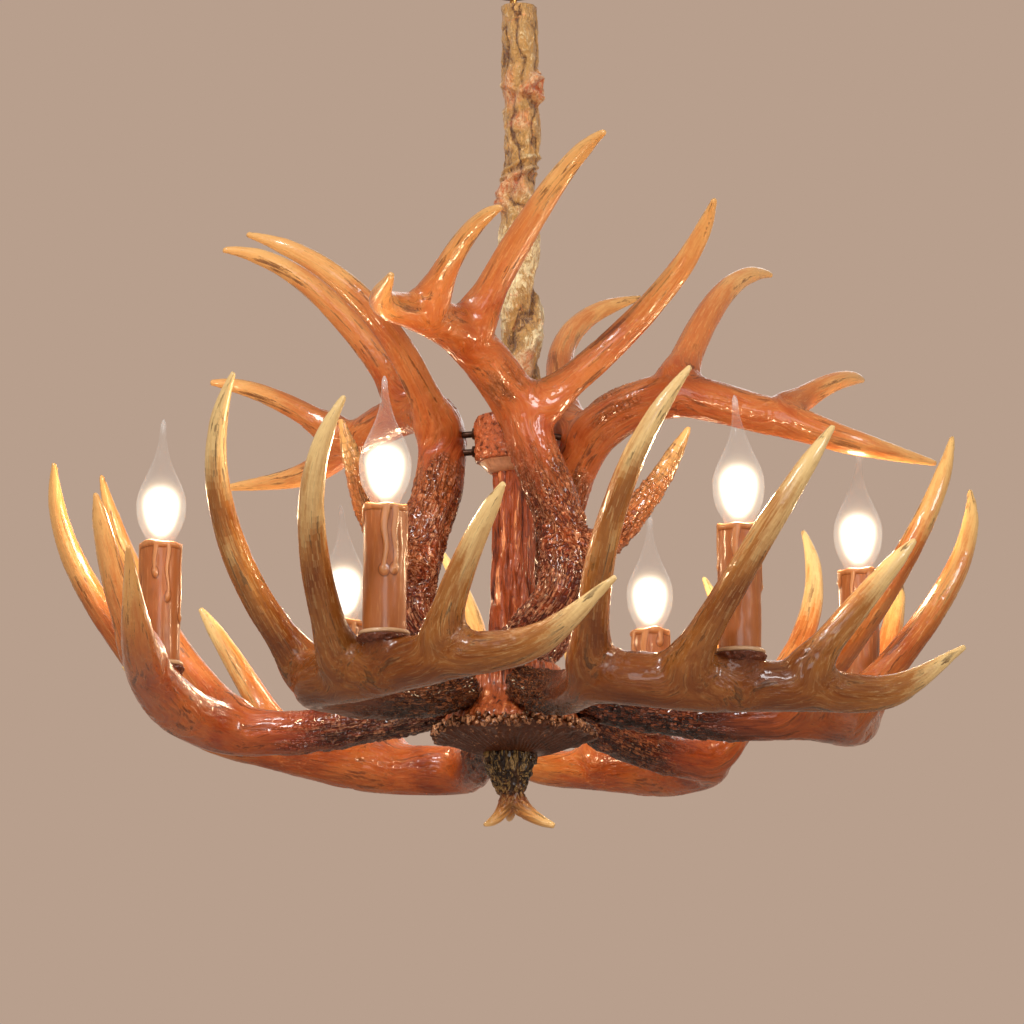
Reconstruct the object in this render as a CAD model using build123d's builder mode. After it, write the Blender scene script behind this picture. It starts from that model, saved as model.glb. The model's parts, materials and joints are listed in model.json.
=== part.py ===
"""Six-light antler chandelier on a chain.

Millimetres, +Z up. The origin is the middle of the ceiling bracket's upper face, so the
whole object hangs below Z = 0. Heights named "..._z" are measured up from the datum, the
underside of the bottom hub's flare, which is `drop` below the ceiling.
"""

import os

from build123d import *

os.makedirs("parts", exist_ok=True)

# ---------------------------------------------------------------- driving dimensions
drop = 588.0  # ceiling face down to the datum
running_gap = 0.3  # between curved faces of pieces that move on each other
slip_gap = 0.15  # between pieces that are fitted together

# ceiling bracket, canopy and swivel
bracket_length = 104.0
bracket_width = 22.0
bracket_thickness = 2.5
bracket_slot_spacing = 70.0
bracket_slot_length = 16.0
bracket_slot_width = 5.0
bracket_boss_radius = 11.0
bracket_boss_height = 5.0
canopy_radius = 60.0
canopy_height = 31.0
canopy_wall = 1.2
canopy_shoulder = 0.62  # radius of the canopy's shoulder as a share of its rim
canopy_bulge = 0.87  # radius half-way round the shoulder, likewise
canopy_bulge_depth = 0.72  # and its depth, as a share of the canopy's height
canopy_rim = 0.25  # upright part of the rim, likewise
stem_radius = 5.0
stem_bore_radius = 2.4
collar_radius = 16.0
collar_height = 14.0
ball_radius = 6.0
ball_neck_radius = 2.6
ball_mouth = 0.8  # the collar's mouth as a share of the ball's radius
eye_radius = 6.0  # to the middle of the eye's wire
eye_wire_radius = 2.0
terminal_length = 22.0
terminal_width = 12.0
terminal_height = 10.0
terminal_gap = 4.0  # clear of the bracket's boss
terminal_ways = 3
tail_rise = 9.0  # the tail leaves the collar this far above the canopy's floor
tail_lean = 4.0

# chain, flex and fabric sleeve
link_pitch = 22.5
link_wire_radius = 1.4
link_half_width = 6.0
link_count = 12
flex_radius = 2.0
flex_offset = 8.8  # from the chain's middle, towards +X
flex_hub_offset = 12.5  # where it enters the top hub
flex_hub_depth = 16.0
flex_bend_rise = 26.0  # above the foot of the hanging loop
flex_entry_rise = 6.0  # above the top hub
sleeve_radius = 12.4  # at the creases between the folds
sleeve_fold = 2.2  # how far each fold swells past the creases
sleeve_bore_radius = 11.0
sleeve_offset = 4.0  # the sleeve hangs to the flex's side of the chain
sleeve_turns = 1.4  # whole turns of the twist
sleeve_sections = 13
sleeve_folds = 3

# centre stack
hub_top_z = 50.0
hub_base_z = 10.0
hub_top_radius = 33.0
hub_waist_z = 30.0
hub_base_radius = 49.0
hub_flare = 4.0  # outside the top's radius, half-way down the flare
hub_waist_inset = 1.0
rosette_radius = 58.0
rosette_rim_z = 4.0
rosette_bottom_z = -12.0
rosette_seat_radius = 18.0
rosette_bead_radius = 4.2
rosette_beads = 26
rosette_dish = 0.72  # radius where the dish turns up to its rim, as a share of the rim
rosette_dish_depth = 9.0  # below the rim's middle
rosette_edge = 3.5  # half the rim's thickness
finial_radius = 17.5
finial_length = 30.0
finial_neck_radius = 7.0
finial_hole_depth = 14.0
finial_swell = (0.86, 0.38)  # shares of its radius and length, half-way down the burr
finial_nose = 5.5
finial_nose_round = 4.0
column_radius = 15.0
column_grooves = 15
column_groove_radius = 2.0
top_hub_z = 197.0
top_hub_height = 33.0
top_hub_radius = 27.0
top_hub_edge = 1.5
hub_disc_height = 8.0
hub_disc_radius = 23.0
rod_radius = 5.0
rod_nut_radius = 9.0
rod_nut_height = 8.0
loop_base_radius = 6.5
loop_base_height = 9.0
loop_wire_radius = 2.0
loop_radius = 4.4  # to the middle of the loop's wire
loop_thread = 0.7  # how far the rod runs up the loop's base, as a share of it

# candles, lampholders and bulbs
candle_reach = 248.0  # from the chandelier's axis, along the arm's own bearing
candle_side = 29.0
candle_seat_z = 34.0
seat_radius = 14.0
seat_foot_radius = 8.0
seat_depth = 22.0
cup_radius = 16.2
cup_height = 3.0
cup_taper = 1.5
candle_radius = 15.0
candle_wall = 2.4
candle_length = 85.0
candle_mouth_radius = 10.4
candle_rim_height = 4.0
candle_rim_round = 2.0
nipple_depth = 12.0
holder_radius = 11.2
holder_length = 32.0
holder_floor = 4.0
holder_shoulder = 5.0
cap_radius = 7.0
cap_length = 24.0
cap_below_rim = 3.0
cap_taper = 4.0
cap_contact = 0.45  # the cap's end contact as a share of its radius
bulb_radius = 17.4
bulb_neck_radius = 9.0
bulb_length = 88.0
bulb_widest = 0.29  # these heights are shares of its length
bulb_waist = 0.52
bulb_wick = 0.7
bulb_waist_radius = 10.8
bulb_wick_radius = 4.5
bulb_tip_radius = 1.8
bulb_tip_round = 1.5
glass_wall = 0.9
glass_peak = 5.0  # the hollow ends this far below the wick
filament_radius = 0.8
filament_length = 22.0
filament_stem = 0.14  # glass stem's height as a share of the bulb's length

# fixings
arm_screw_radius = 2.5
arm_screw_station = 14.0  # from the arm's inner end
hub_screw_radius = 2.5
hub_screw_grip = 11.0  # into the top hub
hub_screw_spacing = 13.0
hub_screw_collar_radius = 4.5
hub_screw_collar_length = 3.0

# lower antler: its own frame has X outwards along its bearing, Y anticlockwise seen from
# above, Z up from the datum
spigot_radius = 12.0
spigot_overrun = 4.0  # into the beam
lower_root = (28, -15, 32)
lower_spigot_end = (66, -20, 22)
lower_neck = (93, -24, 16)
drawn_reach = 248.0  # the candle_reach that the points below are drawn for; they move out and in with it


def in_reach(*points):
    """Points of a lower antler, moved out or in as far as its candle is."""
    return [(x * candle_reach / drawn_reach, y * candle_reach / drawn_reach, z) for x, y, z in points]


lower_beam = [lower_neck] + in_reach(
    (155, -40, 8),
    (197, -48, 9),
    (234, 4, 11),
    (251, 66, 19),
    (256, 148, 33),
)
lower_beam_tip = in_reach((260, 201, 73))[0]
lower_shoulder_radius = 13.4  # where the spigot meets the beam
lower_beam_radii = [12.8, 13.2, 14.4, 15.2, 14.4, 9.6]
lower_beam_tip_radius = 2.0
#                 root,            bend,             tip,             root and tip radius
lower_tines = [
    (*in_reach((190, -50, 9), (284, -120, 113), (307, -68, 201)), 10.5, 2.0),
    (*in_reach((230, -6, 11), (335, -12, 110), (331, 31, 179)), 10.5, 2.0),
    (*in_reach((250, 74, 21), (276, 84, 60), (291, 131, 129)), 10.5, 2.0),
]
beam_slimming = 0.62  # half-way between a beam's last point and its tip
tine_stations = [0.0, 0.22, 0.45, 0.68, 0.86, 1.0]  # shares of a tine's length
tine_slimming = [1.0, 0.86, 0.74, 0.58, 0.38, 0.0]  # and how thick it still is there
lower_pivot = (40, 0, 34)  # an arm's tilt and roll turn it about here
#        bearing, yaw, tilt, roll in degrees
lower_arms = {
    "front_left": (-120, 3.5, 0.0, -5.0),
    "front_right": (-60, 0.5, -1.5, -6.5),
    "right": (0, 2.0, 1.0, 2.5),
    "back_right": (60, -1.0, -1.5, 0.0),
    "back_left": (120, -6.0, -0.5, 2.0),
    "left": (180, 0.0, 2.5, 5.0),
}

# upper antler, in the same kind of frame
foot_radius = 10.5
upper_foot = (24, 10, 44)  # just inside the bottom hub, cut level with its top face
upper_section_side = (0.9, 0.42, 0)
upper_beam = [
    (37, 23, 64),
    (55, 41, 90),
    (51, 39, 130),
    (47, 19, 178),
    (60, -6, 226),
    (96, -40, 250),
    (158, -69, 241),
    (224, -99, 222),
]
upper_beam_tip = (291, -93, 216)
upper_beam_radii = [11.0, 12.5, 13.5, 14.0, 16.5, 16.0, 13.5, 9.0]
upper_beam_tip_radius = 2.4
upper_tines = [
    ((52, 36, 128), (60, 74, 98), (75, 119, 217), 9.5, 1.8),
    ((54, 4, 216), (47, 107, 325), (153, 115, 357), 11.0, 2.2),
    ((102, -44, 249), (157, 1, 366), (219, 34, 368), 11.0, 2.2),
    ((169, -72, 237), (232, -53, 285), (265, -28, 284), 9.0, 2.2),
]
upper_screw_point = (51, 6, 212)  # middle of the trunk beside the top hub
upper_pivot = (30, 10, 200)
upper_arms = {
    "front": (-90, 2.0, 7.5, -7.5),
    "left": (150, 3.5, 0.5, -2.0),
    "right": (30, -5.0, -1.5, 2.5),
}

# finial tines below the burr: bearing, reach, fall below the burr, radius
finial_tines = [(-165, 21, 20, 4.6), (-12, 29, 21, 4.6), (95, 22, 16, 4.2)]
finial_tip_radius = 1.4
finial_bend = 0.35  # how far out each of these tines turns, as a share of its reach

# ---------------------------------------------------------------- worked-out heights
datum = -drop
canopy_bottom = -canopy_height
collar_bottom = canopy_bottom - collar_height
ball_centre = canopy_bottom - collar_height / 2
rod_nut_z = top_hub_z + top_hub_height
loop_z = rod_nut_z + rod_nut_height
loop_centre = datum + loop_z + loop_base_height + loop_radius
loop_hole_top = loop_centre + loop_radius - loop_wire_radius
chain_top = loop_hole_top + link_count * link_pitch
eye_centre = chain_top - running_gap - eye_wire_radius + eye_radius
sleeve_bottom = datum + loop_z + running_gap
sleeve_top = chain_top + 2 * eye_wire_radius + link_wire_radius
candle_top_rise = cup_height + candle_length


def keep(builder, name):
    """Label a finished piece and write it."""
    builder.part.label = name
    export_step(builder.part, f"parts/{name}.step")


def unit(vector):
    """The vector at length one."""
    return vector * (1 / vector.length)


def limb(course, shares, radii, side):
    """A tapering horn: circles square on a smooth course, at shares of its length, lofted."""
    with BuildPart() as horn:
        for share, radius in zip(shares, radii):
            along = course % share
            across = unit(side - along * side.dot(along))
            with BuildSketch(Plane(origin=course @ share, x_dir=across, z_dir=along)):
                Circle(radius)
        loft()
    return horn.part


def tine(root, bend, tip, root_radius, tip_radius):
    """One tine: a single bend from the beam's middle to its point, slimming all the way."""
    with BuildLine() as arc:
        Bezier(root, bend, tip)
    side = (Vector(bend) - Vector(root)).cross(Vector(tip) - Vector(root))
    radii = [tip_radius + (root_radius - tip_radius) * share for share in tine_slimming]
    return limb(arc.edge(), tine_stations, radii, unit(side))


def beam(points, tip, radii, tip_radius, side):
    """A main beam through its points, with a radius given at each point and at the tip."""
    with BuildLine() as course:
        Spline(*points, tip)
    line = course.edge()
    shares = [line.param_at_point(Vector(point)) for point in points]
    shares.append(1.0)
    between = (shares[-2] + shares[-1]) / 2
    shares.insert(-1, between)
    ends = list(radii) + [radii[-1] * beam_slimming, tip_radius]
    return limb(line, shares, ends, side)


def arm_place(bearing, yaw, tilt, roll, pivot):
    """From an antler's own frame to the chandelier's."""
    turn = Pos(0, 0, datum) * Rot(0, 0, bearing + yaw)
    lean = Rot(0, -tilt, 0) * Rot(roll, 0, 0)
    back = Pos(-pivot[0], -pivot[1], -pivot[2])
    return turn * Pos(*pivot) * lean * back


def placed(place, point):
    """A point of an antler's own frame, in the chandelier's."""
    return (place * Pos(*point)).position


# ---------------------------------------------------------------- ceiling fixings
with BuildPart() as mounting_bracket:
    with BuildSketch(Plane.XY.offset(-bracket_thickness)):
        RectangleRounded(bracket_length, bracket_width, bracket_width / 4)
        with GridLocations(bracket_slot_spacing, 0, 2, 1):
            SlotOverall(bracket_slot_length, bracket_slot_width, mode=Mode.SUBTRACT)
    extrude(amount=bracket_thickness)
    with BuildSketch(Plane.XY.offset(-bracket_thickness)):
        Circle(bracket_boss_radius)
    extrude(amount=-bracket_boss_height)
    with BuildSketch(Plane.XY):
        Circle(stem_radius)
    extrude(amount=-(bracket_thickness + bracket_boss_height), mode=Mode.SUBTRACT)
keep(mounting_bracket, "mounting_bracket")

shoulder_radius = canopy_radius * canopy_shoulder
bulge_radius = canopy_radius * canopy_bulge
bulge_depth = canopy_height * canopy_bulge_depth
with BuildPart() as canopy:
    with BuildSketch(Plane.XZ):
        with BuildLine():
            rim = Line((canopy_radius, 0), (canopy_radius, -canopy_height * canopy_rim))
            shoulder = ThreePointArc(
                rim @ 1,
                (bulge_radius, -bulge_depth),
                (shoulder_radius, -canopy_height),
            )
            floor = Line(shoulder @ 1, (stem_radius, -canopy_height))
            inner_floor = Line(floor @ 1, (stem_radius, -canopy_height + canopy_wall))
            under = Line(inner_floor @ 1, (shoulder_radius, -canopy_height + canopy_wall))
            inner_shoulder = ThreePointArc(
                under @ 1,
                (bulge_radius - canopy_wall, canopy_wall - bulge_depth),
                (canopy_radius - canopy_wall, -canopy_height * canopy_rim),
            )
            inner_rim = Line(inner_shoulder @ 1, (canopy_radius - canopy_wall, 0))
            Line(inner_rim @ 1, rim @ 0)
        make_face()
    revolve(axis=Axis.Z)
    with BuildSketch(Plane.XY.offset(-canopy_height)):
        with Locations((flex_offset + stem_radius, 0)):
            Circle(flex_radius + slip_gap)
    extrude(amount=canopy_wall, mode=Mode.SUBTRACT)
keep(canopy, "canopy")

with BuildPart() as canopy_stem:
    with BuildSketch(Plane.XY.offset(canopy_bottom)):
        Circle(stem_radius - slip_gap)
        Circle(stem_bore_radius, mode=Mode.SUBTRACT)
    extrude(amount=canopy_height)
keep(canopy_stem, "canopy_stem")

with BuildPart() as canopy_collar:
    with BuildSketch(Plane.XY.offset(collar_bottom)):
        Circle(collar_radius)
    extrude(amount=collar_height)
    chamfer(canopy_collar.edges().group_by(Axis.Z)[0], collar_height / 6)
    with Locations((0, 0, ball_centre)):
        Sphere(ball_radius + running_gap, mode=Mode.SUBTRACT)
    with BuildSketch(Plane.XY.offset(collar_bottom)):
        Circle(ball_radius * ball_mouth)
    extrude(amount=collar_height / 2, mode=Mode.SUBTRACT)
    with BuildSketch(Plane.XY.offset(collar_bottom)):
        with Locations((flex_offset + stem_radius, 0)):
            Circle(flex_radius + slip_gap)
    extrude(amount=collar_height, mode=Mode.SUBTRACT)
keep(canopy_collar, "canopy_collar")

with BuildPart() as ceiling_swivel:
    with Locations((0, 0, ball_centre)):
        Sphere(ball_radius)
    with BuildSketch(Plane.XY.offset(eye_centre + eye_radius)):
        Circle(ball_neck_radius)
    extrude(amount=ball_centre - eye_centre - eye_radius)
    with Locations(Location((0, 0, eye_centre), (0, 90, 0))):
        Torus(eye_radius, eye_wire_radius)
keep(ceiling_swivel, "ceiling_swivel")

terminal_y = bracket_boss_radius + terminal_width / 2 + terminal_gap
with BuildPart() as terminal_block:
    with BuildSketch(Plane.XY):
        with Locations((0, terminal_y)):
            Rectangle(terminal_length, terminal_width)
    extrude(amount=-terminal_height)
    with BuildSketch(Plane.XY.offset(-terminal_height)):
        with Locations((0, terminal_y)):
            with GridLocations(terminal_length / terminal_ways, 0, terminal_ways, 1):
                Circle(terminal_width / 6)
    extrude(amount=terminal_height / 2, mode=Mode.SUBTRACT)
    with BuildSketch(Plane.XY):
        Rectangle(bracket_length, bracket_width + 2 * slip_gap)
    extrude(amount=-(bracket_thickness + slip_gap), mode=Mode.SUBTRACT)
keep(terminal_block, "terminal_block")

tail_x = flex_offset + stem_radius
tail_points = [
    (tail_x, 0, collar_bottom + slip_gap),
    (tail_x, 0, canopy_bottom + tail_rise),
    (tail_x - tail_lean, terminal_y, -terminal_height - flex_radius),
]
with BuildPart() as supply_tail:
    with BuildLine() as tail_route:
        FilletPolyline(*tail_points, radius=5 * flex_radius)
    with BuildSketch(Plane(origin=tail_points[0], z_dir=(0, 0, 1))):
        Circle(flex_radius)
    sweep()
keep(supply_tail, "supply_tail")

# ---------------------------------------------------------------- chain, flex and sleeve


def chain_link(top, turned):
    """One oval link, its inner top at the given height, in the XZ or the YZ plane."""
    middle = top - link_pitch / 2
    plane = Plane.YZ if turned else Plane.XZ
    bend = link_half_width - link_wire_radius
    half_run = link_pitch / 2 + link_wire_radius - bend
    with BuildPart() as oval:
        with BuildLine(plane):
            right = Line((bend, middle - half_run), (bend, middle + half_run))
            over = ThreePointArc(right @ 1, (0, middle + half_run + bend), (-bend, middle + half_run))
            left = Line(over @ 1, (-bend, middle - half_run))
            ThreePointArc(left @ 1, (0, middle - half_run - bend), right @ 0)
        start = plane.from_local_coords((bend, middle, 0))
        with BuildSketch(Plane(origin=start, z_dir=(0, 0, 1))):
            Circle(link_wire_radius)
        sweep()
    return oval.part


links = [chain_link(chain_top - n * link_pitch, n % 2 == 1) for n in range(link_count)]
with BuildPart() as chain_links:
    for link in links:
        add(link)
keep(chain_links, "chain_links")

flex_points = [
    (flex_offset, 0, sleeve_top),
    (flex_offset, 0, datum + loop_z + flex_bend_rise),
    (flex_hub_offset, 0, datum + rod_nut_z + flex_entry_rise),
    (flex_hub_offset, 0, datum + rod_nut_z - flex_hub_depth),
]
with BuildPart() as supply_flex:
    with BuildLine() as flex_route:
        FilletPolyline(*flex_points, radius=12 * flex_radius)
    with BuildSketch(Plane(origin=flex_points[0], z_dir=(0, 0, -1))):
        Circle(flex_radius)
    sweep()
keep(supply_flex, "supply_flex")

fold_turn = 360 / sleeve_folds
crease = Vector(sleeve_radius, 0)
swell = Vector(sleeve_radius + sleeve_fold, 0)
creases = [crease.rotate(Axis.Z, fold_turn * n) for n in range(sleeve_folds)]
swells = [swell.rotate(Axis.Z, fold_turn * (n + 0.5)) for n in range(sleeve_folds)]
with BuildPart() as chain_sleeve:
    for step in range(sleeve_sections):
        share = step / (sleeve_sections - 1)
        height = sleeve_bottom + (sleeve_top - sleeve_bottom) * share
        turn = 360 * sleeve_turns * share
        plane = Plane.XY.offset(height).rotated((0, 0, turn)).move(Location((sleeve_offset, 0, 0)))
        with BuildSketch(plane):
            with BuildLine():
                for n in range(sleeve_folds):
                    ThreePointArc(creases[n], swells[n], creases[(n + 1) % sleeve_folds])
            make_face()
    loft()
    with BuildSketch(Plane.XY.offset(sleeve_bottom)):
        with Locations((sleeve_offset, 0)):
            Circle(sleeve_bore_radius)
    extrude(amount=sleeve_top - sleeve_bottom, mode=Mode.SUBTRACT)
keep(chain_sleeve, "chain_sleeve")

# ---------------------------------------------------------------- centre stack
with BuildPart() as hanging_loop:
    with BuildSketch(Plane.XY.offset(datum + loop_z)):
        Circle(loop_base_radius)
    extrude(amount=loop_base_height)
    with BuildSketch(Plane.XY.offset(datum + loop_z)):
        Circle(rod_radius)
    extrude(amount=loop_base_height * loop_thread, mode=Mode.SUBTRACT)
    loop_facing = Plane.XZ if link_count % 2 == 0 else Plane.YZ
    with Locations(Location(Plane(origin=(0, 0, loop_centre), z_dir=loop_facing.z_dir))):
        Torus(loop_radius, loop_wire_radius)
keep(hanging_loop, "hanging_loop")

rod_bottom = datum + rosette_bottom_z - finial_hole_depth
rod_top = datum + loop_z + loop_base_height * loop_thread
with BuildPart() as tie_rod:
    with BuildSketch(Plane.XY.offset(rod_bottom)):
        Circle(rod_radius - slip_gap)
    extrude(amount=rod_top - rod_bottom)
keep(tie_rod, "tie_rod")

with BuildPart() as rod_nut:
    with BuildSketch(Plane.XY.offset(datum + rod_nut_z)):
        RegularPolygon(rod_nut_radius, 6)
        Circle(rod_radius, mode=Mode.SUBTRACT)
    extrude(amount=rod_nut_height)
keep(rod_nut, "rod_nut")

uppers = {name: arm_place(*turns, upper_pivot) for name, turns in upper_arms.items()}
lowers = {name: arm_place(*turns, lower_pivot) for name, turns in lower_arms.items()}


def hub_screw_planes(place):
    """Where an upper antler's two screws leave the top hub's wall, looking outwards."""
    trunk = placed(place, upper_screw_point)
    outwards = unit(Vector(trunk.X, trunk.Y, 0))
    middle = datum + top_hub_z + top_hub_height / 2
    heights = [middle - hub_screw_spacing / 2, middle + hub_screw_spacing / 2]
    starts = [outwards * top_hub_radius + Vector(0, 0, height) for height in heights]
    return [Plane(origin=start, z_dir=outwards) for start in starts]


def trunk_gap(place):
    """From the top hub's wall to the middle of an upper antler's trunk."""
    trunk = placed(place, upper_screw_point)
    return Vector(trunk.X, trunk.Y, 0).length - top_hub_radius


with BuildPart() as top_hub:
    with BuildSketch(Plane.XY.offset(datum + top_hub_z)):
        Circle(top_hub_radius)
        Circle(rod_radius, mode=Mode.SUBTRACT)
    extrude(amount=top_hub_height)
    chamfer(top_hub.faces().sort_by(Axis.Z)[-1].outer_wire().edges(), top_hub_edge)
    with BuildSketch(Plane.XY.offset(datum + rod_nut_z)):
        with Locations((flex_hub_offset, 0)):
            Circle(flex_radius + slip_gap)
    extrude(amount=-flex_hub_depth, mode=Mode.SUBTRACT)
    for place in uppers.values():
        for plane in hub_screw_planes(place):
            with BuildSketch(plane):
                Circle(hub_screw_radius)
            extrude(amount=-hub_screw_grip, mode=Mode.SUBTRACT)
keep(top_hub, "top_hub")

with BuildPart() as top_hub_disc:
    with BuildSketch(Plane.XY.offset(datum + top_hub_z)):
        Circle(hub_disc_radius)
    with BuildSketch(Plane.XY.offset(datum + top_hub_z - hub_disc_height)):
        Circle(column_radius)
    loft()
    with BuildSketch(Plane.XY.offset(datum + top_hub_z)):
        Circle(rod_radius)
    extrude(amount=-hub_disc_height, mode=Mode.SUBTRACT)
keep(top_hub_disc, "top_hub_disc")

column_length = top_hub_z - hub_disc_height - hub_top_z
with BuildPart() as centre_column:
    with BuildSketch(Plane.XY.offset(datum + hub_top_z)):
        Circle(column_radius)
        with PolarLocations(column_radius, column_grooves):
            Circle(column_groove_radius, mode=Mode.SUBTRACT)
        Circle(rod_radius, mode=Mode.SUBTRACT)
    extrude(amount=column_length)
keep(centre_column, "centre_column")


def arm_axis(place):
    """The plane of an arm's inner end, looking outwards along its spigot, and its length."""
    start = placed(place, lower_root)
    run = placed(place, lower_spigot_end) - start
    return Plane(origin=start, z_dir=unit(run)), run.length


def arm_screw_plane(place):
    """Where an arm's grub screw starts, under the hub, looking up at the spigot."""
    axis, _ = arm_axis(place)
    seat = axis.from_local_coords((0, 0, arm_screw_station))
    return Plane(origin=(seat.X, seat.Y, datum + hub_base_z), z_dir=(0, 0, 1)), seat.Z


with BuildPart() as bottom_hub:
    with BuildSketch(Plane.XZ):
        with BuildLine():
            base = Line((rod_radius, datum + hub_base_z), (hub_base_radius, datum + hub_base_z))
            flare = ThreePointArc(
                base @ 1,
                (hub_top_radius + hub_flare, datum + (hub_base_z + hub_waist_z) / 2),
                (hub_top_radius - hub_waist_inset, datum + hub_waist_z),
            )
            wall = Line(flare @ 1, (hub_top_radius, datum + hub_top_z))
            top = Line(wall @ 1, (rod_radius, datum + hub_top_z))
            Line(top @ 1, base @ 0)
        make_face()
    revolve(axis=Axis.Z)
    for place in lowers.values():
        axis, length = arm_axis(place)
        with BuildSketch(axis):
            Circle(spigot_radius + slip_gap)
        extrude(amount=length, mode=Mode.SUBTRACT)
        screw, height = arm_screw_plane(place)
        with BuildSketch(screw):
            Circle(arm_screw_radius)
        extrude(amount=height - datum - hub_base_z, mode=Mode.SUBTRACT)
keep(bottom_hub, "bottom_hub")

with BuildPart() as rosette:
    with BuildSketch(Plane.XZ):
        with BuildLine():
            Polyline(
                (rod_radius, datum + rosette_bottom_z),
                (rosette_seat_radius, datum + rosette_bottom_z),
                (rosette_radius * rosette_dish, datum + rosette_rim_z - rosette_dish_depth),
                (rosette_radius - rosette_bead_radius, datum + rosette_rim_z - rosette_edge),
                (rosette_radius - rosette_bead_radius, datum + rosette_rim_z + rosette_edge),
                (hub_base_radius, datum + hub_base_z),
                (rod_radius, datum + hub_base_z),
                close=True,
            )
        make_face()
    revolve(axis=Axis.Z)
    with Locations((0, 0, datum + rosette_rim_z)):
        with PolarLocations(rosette_radius - rosette_bead_radius, rosette_beads):
            Sphere(rosette_bead_radius)
keep(rosette, "rosette_dish")

burr_top = datum + rosette_bottom_z
burr_bottom = burr_top - finial_length
with BuildPart() as finial:
    with BuildSketch(Plane.XZ):
        with BuildLine():
            crown = Line((0, burr_top), (finial_radius, burr_top))
            swell = ThreePointArc(
                crown @ 1,
                (finial_radius * finial_swell[0], burr_top - finial_length * finial_swell[1]),
                (finial_neck_radius, burr_bottom),
            )
            end = ThreePointArc(
                swell @ 1,
                (finial_neck_radius * 0.7, burr_bottom - finial_nose_round),
                (0, burr_bottom - finial_nose),
            )
            Line(end @ 1, crown @ 0)
        make_face()
    revolve(axis=Axis.Z)
    with BuildSketch(Plane.XY.offset(burr_top)):
        Circle(rod_radius)
    extrude(amount=-finial_hole_depth, mode=Mode.SUBTRACT)
finial_points = []
for bearing, reach, fall, radius in finial_tines:
    root = (0, 0, burr_bottom)
    low = Vector(reach * finial_bend, 0, burr_bottom - fall).rotate(Axis.Z, bearing)
    tip = Vector(reach, 0, burr_bottom - fall).rotate(Axis.Z, bearing)
    finial_points.append(tine(root, tuple(low), tuple(tip), radius, finial_tip_radius))
with BuildPart() as finial_casting:
    add(finial.part)
    for point in finial_points:
        add(point)
keep(finial_casting, "finial")

# ---------------------------------------------------------------- antler castings
spigot_course = Vector(lower_spigot_end) - Vector(lower_root)
spigot_plane = Plane(origin=lower_root, z_dir=unit(spigot_course))
lower_limbs = [
    beam([lower_spigot_end] + lower_beam, lower_beam_tip, [lower_shoulder_radius] + lower_beam_radii,
         lower_beam_tip_radius, Vector(0, 0, 1))
]
lower_limbs += [tine(*sizes) for sizes in lower_tines]
with BuildPart() as lower_casting:
    add(lower_limbs[0])
    with BuildSketch(spigot_plane):
        Circle(spigot_radius)
    extrude(amount=spigot_course.length + spigot_overrun)
    for branch in lower_limbs[1:]:
        add(branch)

upper_side = unit(Vector(*upper_section_side))
upper_limbs = [
    beam([upper_foot] + upper_beam, upper_beam_tip, [foot_radius] + upper_beam_radii,
         upper_beam_tip_radius, upper_side)
]
upper_limbs += [tine(*sizes) for sizes in upper_tines]
with BuildPart() as upper_casting:
    for branch in upper_limbs:
        add(branch)

seats = {name: placed(place, (candle_reach, candle_side, candle_seat_z)) for name, place in lowers.items()}

for name, place in lowers.items():
    seat = seats[name]
    screw, height = arm_screw_plane(place)
    with BuildPart() as lower_antler:
        add(place * lower_casting.part)
        with BuildSketch(Plane.XY.offset(seat.Z)):
            with Locations((seat.X, seat.Y)):
                Circle(seat_radius)
        with BuildSketch(Plane.XY.offset(seat.Z - seat_depth)):
            with Locations((seat.X, seat.Y)):
                Circle(seat_foot_radius)
        loft()
        with BuildSketch(Plane.XY.offset(seat.Z)):
            with Locations((seat.X, seat.Y)):
                Circle(stem_radius + slip_gap)
        extrude(amount=-nipple_depth, mode=Mode.SUBTRACT)
        with BuildSketch(screw):
            Circle(arm_screw_radius)
        extrude(amount=height - datum - hub_base_z, mode=Mode.SUBTRACT)
    keep(lower_antler, f"lower_antler_{name}")

for name, place in uppers.items():
    with BuildPart() as upper_antler:
        add(place * upper_casting.part)
        split(bisect_by=Plane.XY.offset(datum + hub_top_z), keep=Keep.TOP)
        for plane in hub_screw_planes(place):
            with BuildSketch(plane):
                Circle(hub_screw_radius + slip_gap)
            extrude(amount=trunk_gap(place), mode=Mode.SUBTRACT)
    keep(upper_antler, f"upper_antler_{name}")

# ---------------------------------------------------------------- fixings
with BuildPart() as arm_screws:
    for place in lowers.values():
        screw, height = arm_screw_plane(place)
        with BuildSketch(screw):
            Circle(arm_screw_radius - slip_gap)
        extrude(amount=height - datum - hub_base_z - slip_gap)
keep(arm_screws, "arm_screws")

with BuildPart() as hub_screws:
    for place in uppers.values():
        for plane in hub_screw_planes(place):
            with BuildSketch(plane.offset(-hub_screw_grip + slip_gap)):
                Circle(hub_screw_radius - slip_gap)
            extrude(amount=hub_screw_grip + trunk_gap(place) - 2 * slip_gap)
            with BuildSketch(plane.offset(slip_gap)):
                RegularPolygon(hub_screw_collar_radius, 6)
            extrude(amount=hub_screw_collar_length)
keep(hub_screws, "hub_screws")

# ---------------------------------------------------------------- candles and bulbs


def turned(profile_points, x, y):
    """A turned piece: a closed outline of (radius, height) spun about the upright at x, y."""
    upright = Plane(origin=(x, y, 0), x_dir=(1, 0, 0), z_dir=(0, -1, 0))
    with BuildPart() as lathe:
        with BuildSketch(upright):
            with BuildLine():
                Polyline(*profile_points, close=True)
            make_face()
        revolve(axis=Axis((x, y, 0), (0, 0, 1)))
    return lathe.part


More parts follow.
